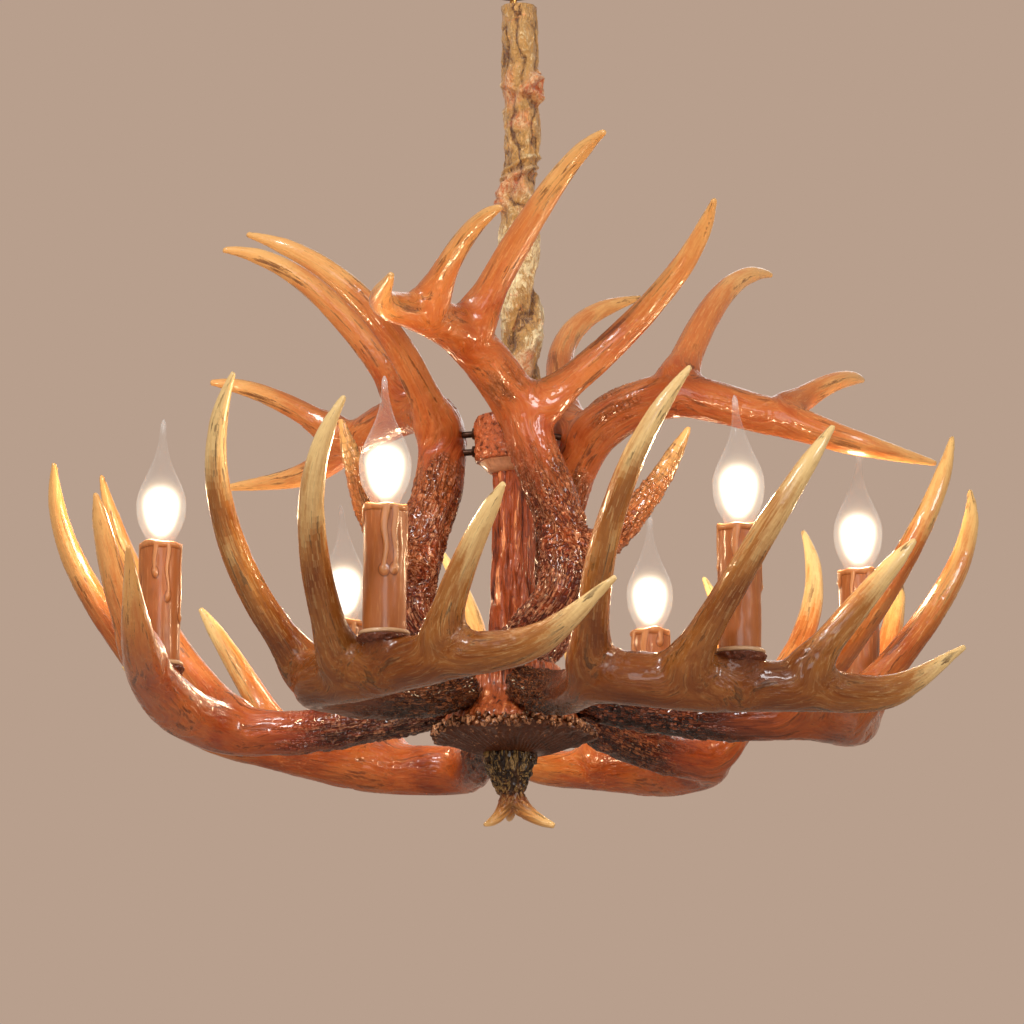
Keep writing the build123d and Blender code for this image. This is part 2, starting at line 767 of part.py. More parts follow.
def cup_outline(z):
    """Thin dish between the antler's seat and the candle."""
    return [
        (stem_radius + slip_gap, z),
        (cup_radius - cup_taper, z),
        (cup_radius, z + cup_height),
        (candle_radius + slip_gap, z + cup_height),
        (candle_radius + slip_gap, z + cup_height / 2),
        (stem_radius + slip_gap, z + cup_height / 2),
    ]


def holder_outline(z):
    """Nipple, barrel and socket of a lampholder; z is the candle's rim."""
    socket_floor = z - cap_below_rim - cap_length - running_gap
    barrel_bottom = socket_floor - holder_floor
    barrel_top = barrel_bottom + holder_length
    foot = z - candle_top_rise - nipple_depth + slip_gap
    return [
        (0, foot),
        (stem_radius, foot),
        (stem_radius, barrel_bottom - holder_shoulder),
        (holder_radius, barrel_bottom),
        (holder_radius, min(barrel_top, z - candle_rim_height - running_gap)),
        (cap_radius + running_gap, min(barrel_top, z - candle_rim_height - running_gap)),
        (cap_radius + running_gap, socket_floor),
        (0, socket_floor),
    ]


with BuildPart() as candle_cups:
    for seat in seats.values():
        add(turned(cup_outline(seat.Z), seat.X, seat.Y))
keep(candle_cups, "candle_cups")

with BuildPart() as lampholders:
    for seat in seats.values():
        add(turned(holder_outline(seat.Z + candle_top_rise), seat.X, seat.Y))
keep(lampholders, "lampholders")

for name, seat in seats.items():
    foot = seat.Z + cup_height / 2
    rim = seat.Z + candle_top_rise
    upright = Plane(origin=(seat.X, seat.Y, 0), x_dir=(1, 0, 0), z_dir=(0, -1, 0))
    spin = Axis((seat.X, seat.Y, 0), (0, 0, 1))

    with BuildPart() as candle_sleeve:
        with BuildSketch(upright):
            with BuildLine():
                Polyline(
                    (candle_radius - candle_wall, foot),
                    (candle_radius, foot),
                    (candle_radius, rim - candle_rim_round),
                    (candle_radius - candle_rim_round, rim),
                    (candle_mouth_radius, rim),
                    (candle_mouth_radius, rim - candle_rim_height),
                    (candle_radius - candle_wall, rim - candle_rim_height),
                    close=True,
                )
            make_face()
        revolve(axis=spin)
    keep(candle_sleeve, f"candle_sleeve_{name}")

    cap_top = rim - cap_below_rim
    with BuildPart() as bulb_cap:
        with BuildSketch(upright):
            with BuildLine():
                Polyline(
                    (0, cap_top - cap_length),
                    (cap_radius * cap_contact, cap_top - cap_length),
                    (cap_radius, cap_top - cap_length + cap_taper),
                    (cap_radius, cap_top),
                    (0, cap_top),
                    close=True,
                )
            make_face()
        revolve(axis=spin)
    keep(bulb_cap, f"bulb_cap_{name}")

    widest = rim + bulb_length * bulb_widest
    waist = rim + bulb_length * bulb_waist
    wick = rim + bulb_length * bulb_wick
    peak = rim + bulb_length
    with BuildPart() as bulb_glass:
        with BuildSketch(upright):
            with BuildLine():
                outer = Spline(
                    (cap_radius, cap_top),
                    (bulb_neck_radius, rim),
                    (bulb_radius, widest),
                    (bulb_waist_radius, waist),
                    (bulb_wick_radius, wick),
                    (bulb_tip_radius, peak - bulb_tip_round),
                    tangents=((0.3, 1), (-0.1, 1)),
                )
                point = Line(outer @ 1, (0, peak))
                drop_in = Line(point @ 1, (0, wick - glass_peak))
                inner = Spline(
                    drop_in @ 1,
                    (bulb_waist_radius - glass_wall, waist - glass_peak / 2),
                    (bulb_radius - glass_wall, widest),
                    (bulb_neck_radius - glass_wall, rim),
                    (cap_radius - glass_wall, cap_top),
                    tangents=((1, -1.6), (-0.3, -1)),
                )
                Line(inner @ 1, outer @ 0)
            make_face()
        revolve(axis=spin)
    keep(bulb_glass, f"bulb_glass_{name}")

    stem_top = rim + bulb_length * filament_stem
    with BuildPart() as bulb_filament:
        with BuildSketch(upright):
            with BuildLine():
                Polyline(
                    (0, cap_top),
                    (cap_radius * 0.55, cap_top),
                    (filament_radius * 2, stem_top),
                    (0, stem_top),
                    close=True,
                )
            make_face()
        revolve(axis=spin)
        with BuildSketch(Plane.XY.offset(stem_top)):
            with Locations((seat.X, seat.Y)):
                Circle(filament_radius)
        extrude(amount=filament_length)
    keep(bulb_filament, f"bulb_filament_{name}")
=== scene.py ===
"""The looks of an antler chandelier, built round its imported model.

Everything is in metres in the model's own frame: the origin is the middle of the ceiling
bracket's upper face, +Z up. The antlers, the centre stack and the finial are drawn in
millimetres up from the datum, a level in the rosette's rim.
"""

from __future__ import annotations

import json
import logging
import math
from dataclasses import dataclass, field
from enum import Enum

import bpy
import numpy as np
from mathutils import Matrix, Vector, noise

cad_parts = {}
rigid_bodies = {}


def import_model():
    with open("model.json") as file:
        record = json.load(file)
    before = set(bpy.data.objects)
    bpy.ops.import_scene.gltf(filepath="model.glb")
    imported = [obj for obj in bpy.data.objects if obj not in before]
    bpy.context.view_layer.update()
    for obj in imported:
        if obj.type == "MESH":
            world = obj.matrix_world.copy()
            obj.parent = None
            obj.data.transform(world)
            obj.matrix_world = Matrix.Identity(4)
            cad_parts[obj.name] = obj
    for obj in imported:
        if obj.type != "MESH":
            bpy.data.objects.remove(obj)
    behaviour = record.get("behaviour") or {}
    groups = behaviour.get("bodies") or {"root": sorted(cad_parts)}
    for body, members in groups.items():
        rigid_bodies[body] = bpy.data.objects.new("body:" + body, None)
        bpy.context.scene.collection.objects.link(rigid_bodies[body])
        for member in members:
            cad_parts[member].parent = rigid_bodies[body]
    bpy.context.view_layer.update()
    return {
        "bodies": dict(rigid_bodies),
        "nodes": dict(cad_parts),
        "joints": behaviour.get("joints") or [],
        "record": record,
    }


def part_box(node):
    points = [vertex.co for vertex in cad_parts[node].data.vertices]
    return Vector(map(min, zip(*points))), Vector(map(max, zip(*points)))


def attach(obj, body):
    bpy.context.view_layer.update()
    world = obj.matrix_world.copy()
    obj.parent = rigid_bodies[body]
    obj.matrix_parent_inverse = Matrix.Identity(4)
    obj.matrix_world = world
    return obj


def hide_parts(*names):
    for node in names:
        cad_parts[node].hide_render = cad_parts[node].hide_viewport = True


LOG = logging.getLogger("chandelier")
MM = 0.001
DATUM = -0.588
SEED = 4177
PLACES = ("front_left", "front_right", "right", "back_right", "back_left", "left")

Point = tuple[float, float, float]
Profile = tuple[tuple[float, float], ...]
Colour = tuple[float, float, float]
Stops = tuple[tuple[float, Colour], ...]

BLACK: Colour = (0.0, 0.0, 0.0)
WHITE: Colour = (1.0, 1.0, 1.0)


def linear(red: int, green: int, blue: int) -> Colour:
    """A colour as seen on a screen, 0 to 255, made linear.

    Args:
        red: The red share.
        green: The green share.
        blue: The blue share.

    Returns:
        The linear colour.
    """
    return tuple(
        c / 12.92 if c <= 0.04045 else ((c + 0.055) / 1.055) ** 2.4
        for c in (red / 255, green / 255, blue / 255)
    )


# ------------------------------------------------------------------ shader expressions
class Value:
    """A number that varies over a surface, held as a node's output socket."""

    def __init__(self, shader: Shader, socket: bpy.types.NodeSocket) -> None:
        """Wraps a socket of a shader."""
        self.shader = shader
        self.socket = socket

    def _maths(self, operation: str, *terms: Value | float) -> Value:
        """Adds one Math node on these terms."""
        return self.shader.add("ShaderNodeMath", {"operation": operation}, dict(enumerate(terms)))

    def __add__(self, other: Value | float) -> Value:
        """The sum."""
        return self._maths("ADD", self, other)

    def __radd__(self, other: float) -> Value:
        """The sum, from the right."""
        return self._maths("ADD", other, self)

    def __sub__(self, other: Value | float) -> Value:
        """The difference."""
        return self._maths("SUBTRACT", self, other)

    def __rsub__(self, other: float) -> Value:
        """The difference, from the right."""
        return self._maths("SUBTRACT", other, self)

    def __mul__(self, other: Value | float) -> Value:
        """The product."""
        return self._maths("MULTIPLY", self, other)

    def __rmul__(self, other: float) -> Value:
        """The product, from the right."""
        return self._maths("MULTIPLY", other, self)

    def __pow__(self, power: float) -> Value:
        """The power."""
        return self._maths("POWER", self, power)

    def clamp(self, low: float = 0.0, high: float = 1.0) -> Value:
        """The value held between two limits."""
        return self._maths("MINIMUM", self._maths("MAXIMUM", self, low), high)

    def band(self, start: float, end: float) -> Value:
        """A smooth step from 0 at start to 1 at end.

        Args:
            start: Where the step begins.
            end: Where the step is done.

        Returns:
            The step's value.
        """
        return self.shader.add(
            "ShaderNodeMapRange",
            {"interpolation_type": "SMOOTHSTEP", "clamp": True},
            {"Value": self, "From Min": start, "From Max": end, "To Min": 0.0, "To Max": 1.0},
        )


class Shader:
    """One material's nodes, written as expressions."""

    def __init__(self, name: str) -> None:
        """Starts an empty material with a shader and an output."""
        self.material = bpy.data.materials.new(name)
        self.material.use_nodes = True
        self.tree = self.material.node_tree
        self.tree.nodes.clear()
        self.output = self.tree.nodes.new("ShaderNodeOutputMaterial")
        self.surface = self.tree.nodes.new("ShaderNodeBsdfPrincipled")
        self.tree.links.new(self.surface.outputs[0], self.output.inputs["Surface"])

    def add(
        self,
        kind: str,
        settings: dict[str, object] | None = None,
        values: dict[str | int, object] | None = None,
        out: str | int = 0,
    ) -> Value:
        """Adds one node: its settings first, then its sockets' values or links.

        Args:
            kind: The node's type.
            settings: The node's properties; "stops" fills a colour ramp.
            values: Socket names or indices with numbers, colours or other values.
            out: The output to return.

        Returns:
            The chosen output.
        """
        node = self.tree.nodes.new(kind)
        for key, setting in (settings or {}).items():
            if key == "stops":
                self._fill_ramp(node.color_ramp, setting)
            else:
                setattr(node, key, setting)
        for key, value in (values or {}).items():
            self.join(node.inputs[key], value)
        return Value(self, node.outputs[out])

    def join(self, socket: bpy.types.NodeSocket, value: object) -> None:
        """Links a value to a socket, or sets the socket's own number or colour."""
        if isinstance(value, Value):
            self.tree.links.new(value.socket, socket)
        elif isinstance(value, tuple) and socket.type == "RGBA":
            socket.default_value = (*value, 1.0)[:4]
        else:
            socket.default_value = value

    @staticmethod
    def _fill_ramp(ramp: bpy.types.ColorRamp, stops: Stops) -> None:
        """Gives a colour ramp its stops."""
        while len(ramp.elements) < len(stops):
            ramp.elements.new(1.0)
        for element, (place, colour) in zip(ramp.elements, stops):
            element.position = place
            element.color = (*colour, 1.0)

    def ramp(self, value: Value, stops: Stops) -> Value:
        """A colour from a value by way of stops."""
        return self.add("ShaderNodeValToRGB", {"stops": stops}, {0: value})

    def mix(self, share: Value | float, first: Value | Colour, second: Value | Colour) -> Value:
        """Mixes two colours.

        Args:
            share: How much of the second colour.
            first: The first colour.
            second: The second colour.

        Returns:
            The mixed colour.
        """
        settings = {"data_type": "RGBA", "clamp_factor": True}
        return self.add("ShaderNodeMix", settings, {0: share, 6: first, 7: second}, out=2)

    def place(self) -> Value:
        """The point in the piece's own frame."""
        return self.add("ShaderNodeTexCoord", out="Object")

    def attribute(self, name: str, out: str = "Fac") -> Value:
        """A value stored on the mesh."""
        return self.add("ShaderNodeAttribute", {"attribute_name": name}, out=out)

    def stretch(self, vector: Value, along: float, across: float = 1.0) -> Value:
        """A vector scaled along its third axis and across it; a small scale draws a pattern out."""
        scale = (across, across, along)
        return self.add("ShaderNodeVectorMath", {"operation": "MULTIPLY"}, {0: vector, 1: scale})

    def noise(
        self,
        vector: Value,
        scale: float,
        detail: float = 3.0,
        roughness: float = 0.55,
        warp: float = 0.0,
    ) -> Value:
        """Smooth noise between 0 and 1.

        Args:
            vector: Where it is read.
            scale: Its scale, in features per metre of the vector.
            detail: How many finer layers it has.
            roughness: How strong those layers are.
            warp: How far it is bent by itself.

        Returns:
            The noise.
        """
        return self.add("ShaderNodeTexNoise", None, {
            "Vector": vector, "Scale": scale, "Detail": detail, "Roughness": roughness, "Distortion": warp,
        })

    def ridges(self, noise: Value, middle: float, sharpness: float) -> Value:
        """Narrow bands, 1 where the noise crosses its middle and falling to 0 beside it."""
        return (1 - ((noise - middle) ** 2) ** 0.5 * sharpness).clamp()

    def cells(self, vector: Value, scale: float) -> Value:
        """Cellular noise: the distance to the nearest cell's middle."""
        return self.add("ShaderNodeTexVoronoi", None, {"Vector": vector, "Scale": scale}, out="Distance")

    def facing(self, blend: float) -> Value:
        """How far the surface turns away from a glance, for glass and glow."""
        return self.add("ShaderNodeLayerWeight", None, {"Blend": blend}, out="Facing")

    def seen_by(self, kind: str) -> Value:
        """Whether the ray is of a kind: Camera, Glossy or Transmission."""
        return self.add("ShaderNodeLightPath", out=f"Is {kind} Ray")

    def bump(self, height: Value, distance: float) -> Value:
        """A normal bent by a height, whose full range is distance metres."""
        return self.add("ShaderNodeBump", None, {"Strength": 1.0, "Distance": distance, "Height": height})

    def finish(self, **sockets: object) -> bpy.types.Material:
        """Sets the shader's own sockets, named with underscores for spaces.

        Args:
            **sockets: Values or links of the Principled shader.

        Returns:
            The finished material.
        """
        for name, value in sockets.items():
            self.join(self.surface.inputs[name.replace("_", " ")], value)
        return self.material


class Sky(Shader):
    """The world's nodes, written the same way."""

    def __init__(self, world: bpy.types.World) -> None:
        """Starts with an empty world tree."""
        world.use_nodes = True
        self.tree = world.node_tree
        self.tree.nodes.clear()

    def show(self, background: Value) -> None:
        """Gives the world its background."""
        output = self.tree.nodes.new("ShaderNodeOutputWorld")
        self.tree.links.new(background.socket, output.inputs["Surface"])


# ------------------------------------------------------------------ mesh helpers
def mesh_piece(name: str, points: np.ndarray, faces: list[tuple[int, ...]]) -> bpy.types.Object:
    """Makes a smooth-shaded object from points and faces.

    Args:
        name: The piece's name.
        points: Its corners, n by 3, in metres.
        faces: Its faces, as rows of corner numbers.

    Returns:
        The new object.
    """
    mesh = bpy.data.meshes.new(name)
    mesh.from_pydata([tuple(p) for p in points], [], faces)
    mesh.update()
    mesh.shade_smooth()
    piece = bpy.data.objects.new(name, mesh)
    bpy.context.scene.collection.objects.link(piece)
    return piece


def grid_faces(rows: int, columns: int, closed: bool = True) -> list[tuple[int, ...]]:
    """Quads of a grid of points, whose columns close on themselves unless it has a seam."""
    faces = []
    for row in range(rows - 1):
        for column in range(columns if closed else columns - 1):
            beside = (column + 1) % columns
            low, high = row * columns, (row + 1) * columns
            faces.append((low + column, low + beside, high + beside, high + column))
    return faces


def tube(centres: np.ndarray, radii: np.ndarray, sides: int, tall: float = 1.0) -> tuple[np.ndarray, list]:
    """A closed tube along a line.

    Args:
        centres: The line's points, n by 3.
        radii: The radius at each point.
        sides: How many sides it has.
        tall: How much taller than wide it is at the middle of its length.

    Returns:
        Its points and faces.
    """
    along = frames_along(centres)
    turn = np.linspace(0, 2 * np.pi, sides, endpoint=False)
    stretch = 1 + (tall - 1) * np.sin(np.pi * np.linspace(0, 1, len(centres))) ** 0.7
    points = []
    for centre, radius, high, (_, up, across) in zip(centres, radii, stretch, along):
        points.append(centre + radius * (np.cos(turn)[:, None] * up * high + np.sin(turn)[:, None] * across))
    faces = grid_faces(len(centres), sides)
    faces.append(tuple(range(sides))[::-1])
    faces.append(tuple(range((len(centres) - 1) * sides, len(centres) * sides)))
    return np.vstack(points), faces


def frames_along(centres: np.ndarray) -> list[tuple[np.ndarray, ...]]:
    """The tangent and two steady cross directions, up first, at each point of a line."""
    tangents = np.gradient(centres, axis=0)
    tangents /= np.linalg.norm(tangents, axis=1)[:, None]
    side = np.array([0.0, 0.0, 1.0]) if abs(tangents[0][2]) < 0.9 else np.array([1.0, 0.0, 0.0])
    frames = []
    for tangent in tangents:
        side = side - tangent * (side @ tangent)
        side = side / np.linalg.norm(side)
        frames.append((tangent, side, np.cross(tangent, side)))
    return frames


def run_along(line: np.ndarray) -> np.ndarray:
    """How far along a line each of its points is."""
    return np.r_[0, np.cumsum(np.linalg.norm(np.diff(line, axis=0), axis=1))]


def curve_through(points: np.ndarray, count: int) -> tuple[np.ndarray, np.ndarray]:
    """A smooth line through points, evenly stepped.

    Args:
        points: The points, n by 3.
        count: How many points to return.

    Returns:
        The line's points, and each given point's share of its length.
    """
    knots = run_along(points)
    slopes = np.gradient(points, knots, axis=0)
    fine = np.linspace(0, knots[-1], 24 * len(points))
    index = np.clip(np.searchsorted(knots, fine, side="right") - 1, 0, len(points) - 2)
    width = (knots[index + 1] - knots[index])[:, None]
    t = ((fine - knots[index]) / width[:, 0])[:, None]
    line = (
        (2 * t**3 - 3 * t**2 + 1) * points[index]
        + (t**3 - 2 * t**2 + t) * width * slopes[index]
        + (3 * t**2 - 2 * t**3) * points[index + 1]
        + (t**3 - t**2) * width * slopes[index + 1]
    )
    run = run_along(line)
    even = np.linspace(0, run[-1], count)
    shares = np.interp(knots, fine, run) / run[-1]
    return np.stack([np.interp(even, run, line[:, axis]) for axis in range(3)], axis=1), shares


def lathe(
    profile: np.ndarray, sides: int, centre: tuple[float, float] = (0.0, 0.0)
) -> tuple[np.ndarray, list]:
    """A turned skin: (radius, height) points spun about an upright axis.

    Args:
        profile: Radius and height pairs, n by 2.
        sides: How many sides it has.
        centre: The axis' x and y.

    Returns:
        Its points and faces.
    """
    turn = np.linspace(0, 2 * np.pi, sides, endpoint=False)
    points = []
    for radius, height in profile:
        ring = np.stack([radius * np.cos(turn) + centre[0], radius * np.sin(turn) + centre[1]], axis=1)
        points.append(np.c_[ring, np.full(sides, height)])
    return np.vstack(points), grid_faces(len(profile), sides)


def joined(meshes: list[tuple[np.ndarray, list]]) -> tuple[np.ndarray, list]:
    """Several meshes' points and faces as one mesh's."""
    points, faces, offset = [], [], 0
    for some, rows in meshes:
        points.append(some)
        faces += [tuple(corner + offset for corner in row) for row in rows]
        offset += len(some)
    return np.vstack(points), faces


def store(piece: bpy.types.Object, **fields: np.ndarray) -> None:
    """Keeps named numbers or vectors on a piece's points for its material."""
    for name, values in fields.items():
        values = np.asarray(values, float)
        kind, key = ("FLOAT_VECTOR", "vector") if values.ndim == 2 else ("FLOAT", "value")
        piece.data.attributes.new(name, kind, "POINT").data.foreach_set(key, values.ravel())


def noise_at(points: np.ndarray, scale: float, octaves: int, seed: float) -> np.ndarray:
    """Fractal noise at points, about -1 to 1.

    Args:
        points: Where it is read, n by 3.
        scale: Features per metre.
        octaves: How many layers.
        seed: Moves the pattern.

    Returns:
        The noise at each point.
    """
    shift = Vector((seed, seed * 1.7, seed * 0.3))
    basis = "PERLIN_ORIGINAL"
    return np.array([
        noise.fractal(Vector(point) * scale + shift, 1.0, 2.0, octaves, noise_basis=basis) for point in points
    ])


@dataclass(frozen=True)
class Pattern:
    """A noise pattern in space; a small share along draws it out along the third axis."""

    scale: float
    octaves: int
    seed: float
    along: float = 1.0

    def at(self, points: np.ndarray) -> np.ndarray:
        """The pattern at points, about -1 to 1."""
        return noise_at(points * np.array([1.0, 1.0, self.along]), self.scale, self.octaves, self.seed)

    def lines(self, points: np.ndarray, sharpness: float) -> np.ndarray:
        """Narrow lines, 1 where the pattern crosses zero and falling to 0 beside it."""
        return np.clip(1 - np.abs(self.at(points)) * sharpness, 0, 1)


@dataclass(frozen=True)
class Bell:
    """A smooth bump: its height, the place of its middle and its half width."""

    height: float
    middle: float | np.ndarray
    half: float

    def at(self, value: np.ndarray) -> np.ndarray:
        """How high the bump is at a value."""
        return self.height * np.exp(-(((value - self.middle) / self.half) ** 2))


@dataclass(frozen=True)
class Wave:
    """A sine wave: its height, rate and phase."""

    height: float
    rate: float
    phase: float = 0.0

    def at(self, value: np.ndarray | float) -> np.ndarray | float:
        """How high the wave is at a value."""
        return self.height * np.sin(value * self.rate + self.phase)


def smooth_step(value: np.ndarray, start: float, end: float) -> np.ndarray:
    """A smooth step from 0 at start to 1 at end."""
    t = np.clip((value - start) / (end - start), 0, 1)
    return t * t * (3 - 2 * t)


# ------------------------------------------------------------------ finishes
RESIN_GLOSS = {"IOR": 1.45, "Specular_IOR_Level": 0.3, "Coat_Roughness": 0.06}


@dataclass(frozen=True)
class AntlerFinish:
    """Glossy cast resin coloured like an antler, from dark bark to a pale tip."""

    name: str
    bark_dark: Colour
    bark: Colour
    palm: Colour
    body: Colour
    tip: Colour
    streak: Colour
    # The specks' colour: dry-brushed pigment that also stands in for painted highlights on the bark ridges.
    fleck_and_highlight: Colour = linear(214, 140, 92)
    roughness: float = 0.26
    coarseness: float = 1.0
    drift_share: float = 0.5
    streak_share: float = 0.62
    smoke_share: float = 0.2
    relief: float = 0.0016
    coat: float = 0.5

    def make(self) -> bpy.types.Material:
        """Builds the material, which reads the mesh's grain, tone and bark.

        Returns:
            The material.
        """
        s = Shader(self.name)
        grain = s.attribute("grain", "Vector")
        tone = s.attribute("tone")
        bark = s.attribute("bark")
        lengthwise = s.stretch(grain, 0.09)
        drift = s.noise(s.stretch(grain, 0.3), scale=46, detail=4, roughness=0.62, warp=0.3)
        streaks = s.noise(lengthwise, scale=240, detail=5, roughness=0.66, warp=0.5)
        fine = s.noise(lengthwise, scale=800, detail=3, roughness=0.6)
        worm = s.noise(s.stretch(grain, 0.45), scale=240 / self.coarseness, detail=3, roughness=0.6, warp=1.5)
        ridge = s.ridges(worm, middle=0.5, sharpness=6.0)
        smoke = s.noise(s.stretch(grain, 0.55), scale=22, detail=2, roughness=0.5).band(0.5, 0.68)
        clouded = tone + (drift - 0.5) * self.drift_share
        shade = (clouded + (streaks - 0.5) * self.streak_share - smoke * self.smoke_share).clamp()
        stops = (
            (0.0, self.bark_dark), (0.16, self.bark), (0.4, self.palm),
            (0.66, self.body), (0.88, self.tip), (1.0, self.tip),
        )
        colour = s.ramp(shade, stops)
        crack = streaks.band(0.53, 0.63) * drift.band(0.34, 0.56) * (1 - bark)
        colour = s.mix(crack * 0.8, colour, self.streak)
        pale = fine.band(0.52, 0.7) * (1 - bark) * tone.band(0.3, 0.7) * 0.34
        colour = s.mix(pale, colour, self.tip)
        pits = (1 - ridge) * bark
        colour = s.mix(pits.band(0.25, 0.85) * 0.8, colour, self.bark_dark)
        # Pale specks on the tops of the bark ridges: partly dry-brushed pigment, partly painted highlight.
        flecks_and_highlights = ridge.band(0.55, 0.95) * fine.band(0.40, 0.56) * bark
        colour = s.mix(flecks_and_highlights * 0.75, colour, self.fleck_and_highlight)
        height = ridge * bark * 2.2 + streaks * (0.8 - tone * 0.55) + fine * (0.2 - tone * 0.1)
        rough = (self.roughness + (drift - 0.5) * 0.2 + pits * 0.1 - bark * 0.07).clamp(0.1, 0.8)
        return s.finish(
            Base_Color=colour, Roughness=rough, Normal=s.bump(height, self.relief),
            Coat_Weight=self.coat, **RESIN_GLOSS,
        )


class Tone(Enum):
    """Which colouring an antler was given."""

    WARM = "antler_warm"
    OLIVE = "antler_olive"
    DEEP = "antler_deep"
    AMBER = "antler_amber"


ANTLER_FINISHES = {
    Tone.WARM: AntlerFinish(
        "antler_warm", linear(66, 14, 4), linear(146, 56, 24), linear(176, 88, 40),
        linear(200, 122, 64), linear(228, 172, 104), linear(84, 28, 8), linear(236, 168, 124),
    ),
    Tone.OLIVE: AntlerFinish(
        "antler_olive", linear(42, 10, 2), linear(86, 36, 10), linear(122, 62, 16),
        linear(164, 104, 48), linear(230, 194, 132), linear(60, 26, 6), linear(186, 114, 70),
    ),
    Tone.DEEP: AntlerFinish(
        "antler_deep", linear(34, 8, 2), linear(80, 26, 8), linear(156, 74, 28),
        linear(186, 108, 50), linear(226, 178, 108), linear(68, 22, 6), linear(172, 92, 56),
    ),
    Tone.AMBER: AntlerFinish(
        "antler_amber", linear(54, 14, 4), linear(124, 46, 16), linear(180, 86, 32),
        linear(208, 128, 60), linear(246, 208, 140), linear(100, 36, 8), linear(212, 130, 80),
    ),
}


# ------------------------------------------------------------------ antlers
@dataclass(frozen=True)
class Limb:
    """One beam or tine: a line, its radii and how its tone runs."""

    line: np.ndarray
    radii: np.ndarray
    tones: tuple[float, float]


@dataclass(frozen=True)
class TineSize:
    """A tine in the mould's own frame, in millimetres, but for its flare: metres along it."""

    root: Point
    bend: Point
    tip: Point
    root_radius: float
    tip_radius: float
    slimming: tuple[float, ...] = (1.0, 0.86, 0.74, 0.58, 0.38, 0.0)
    stations: tuple[float, ...] = (0.0, 0.22, 0.45, 0.68, 0.86, 1.0)
    steps: int = 48
    flare: Bell = Bell(height=0.42, middle=0.014, half=0.017)

    def limb(self, tones: tuple[float, float]) -> Limb:
        """The tine's line and radii.

        Args:
            tones: Its tone at the root and the tip.

        Returns:
            The limb, in metres.
        """
        t = np.linspace(0, 1, self.steps)[:, None]
        root, bend, tip = (np.array(p) * MM for p in (self.root, self.bend, self.tip))
        line = (1 - t) ** 2 * root + 2 * t * (1 - t) * bend + t**2 * tip
        run = run_along(line)
        slim = np.interp(run / run[-1], self.stations, self.slimming)
        radii = self.tip_radius + (self.root_radius - self.tip_radius) * slim
        return Limb(line, radii * (1 + self.flare.at(run)) * MM, tones)


@dataclass(frozen=True)
class Boss:
    """The swelling on a beam that a candle stands on, in millimetres."""

    foot: Point
    top: Point
    foot_radius: float
    top_radius: float
    tones: tuple[float, float] = (0.42, 0.36)
    steps: int = 24

    def limb(self) -> Limb:
        """The boss's line and radii, in metres."""
        rise = np.linspace(0, 1, self.steps)
        line = np.array(self.foot) * MM + rise[:, None] * (np.array(self.top) - np.array(self.foot)) * MM
        return Limb(line, (self.foot_radius + (self.top_radius - self.foot_radius) * rise) * MM, self.tones)


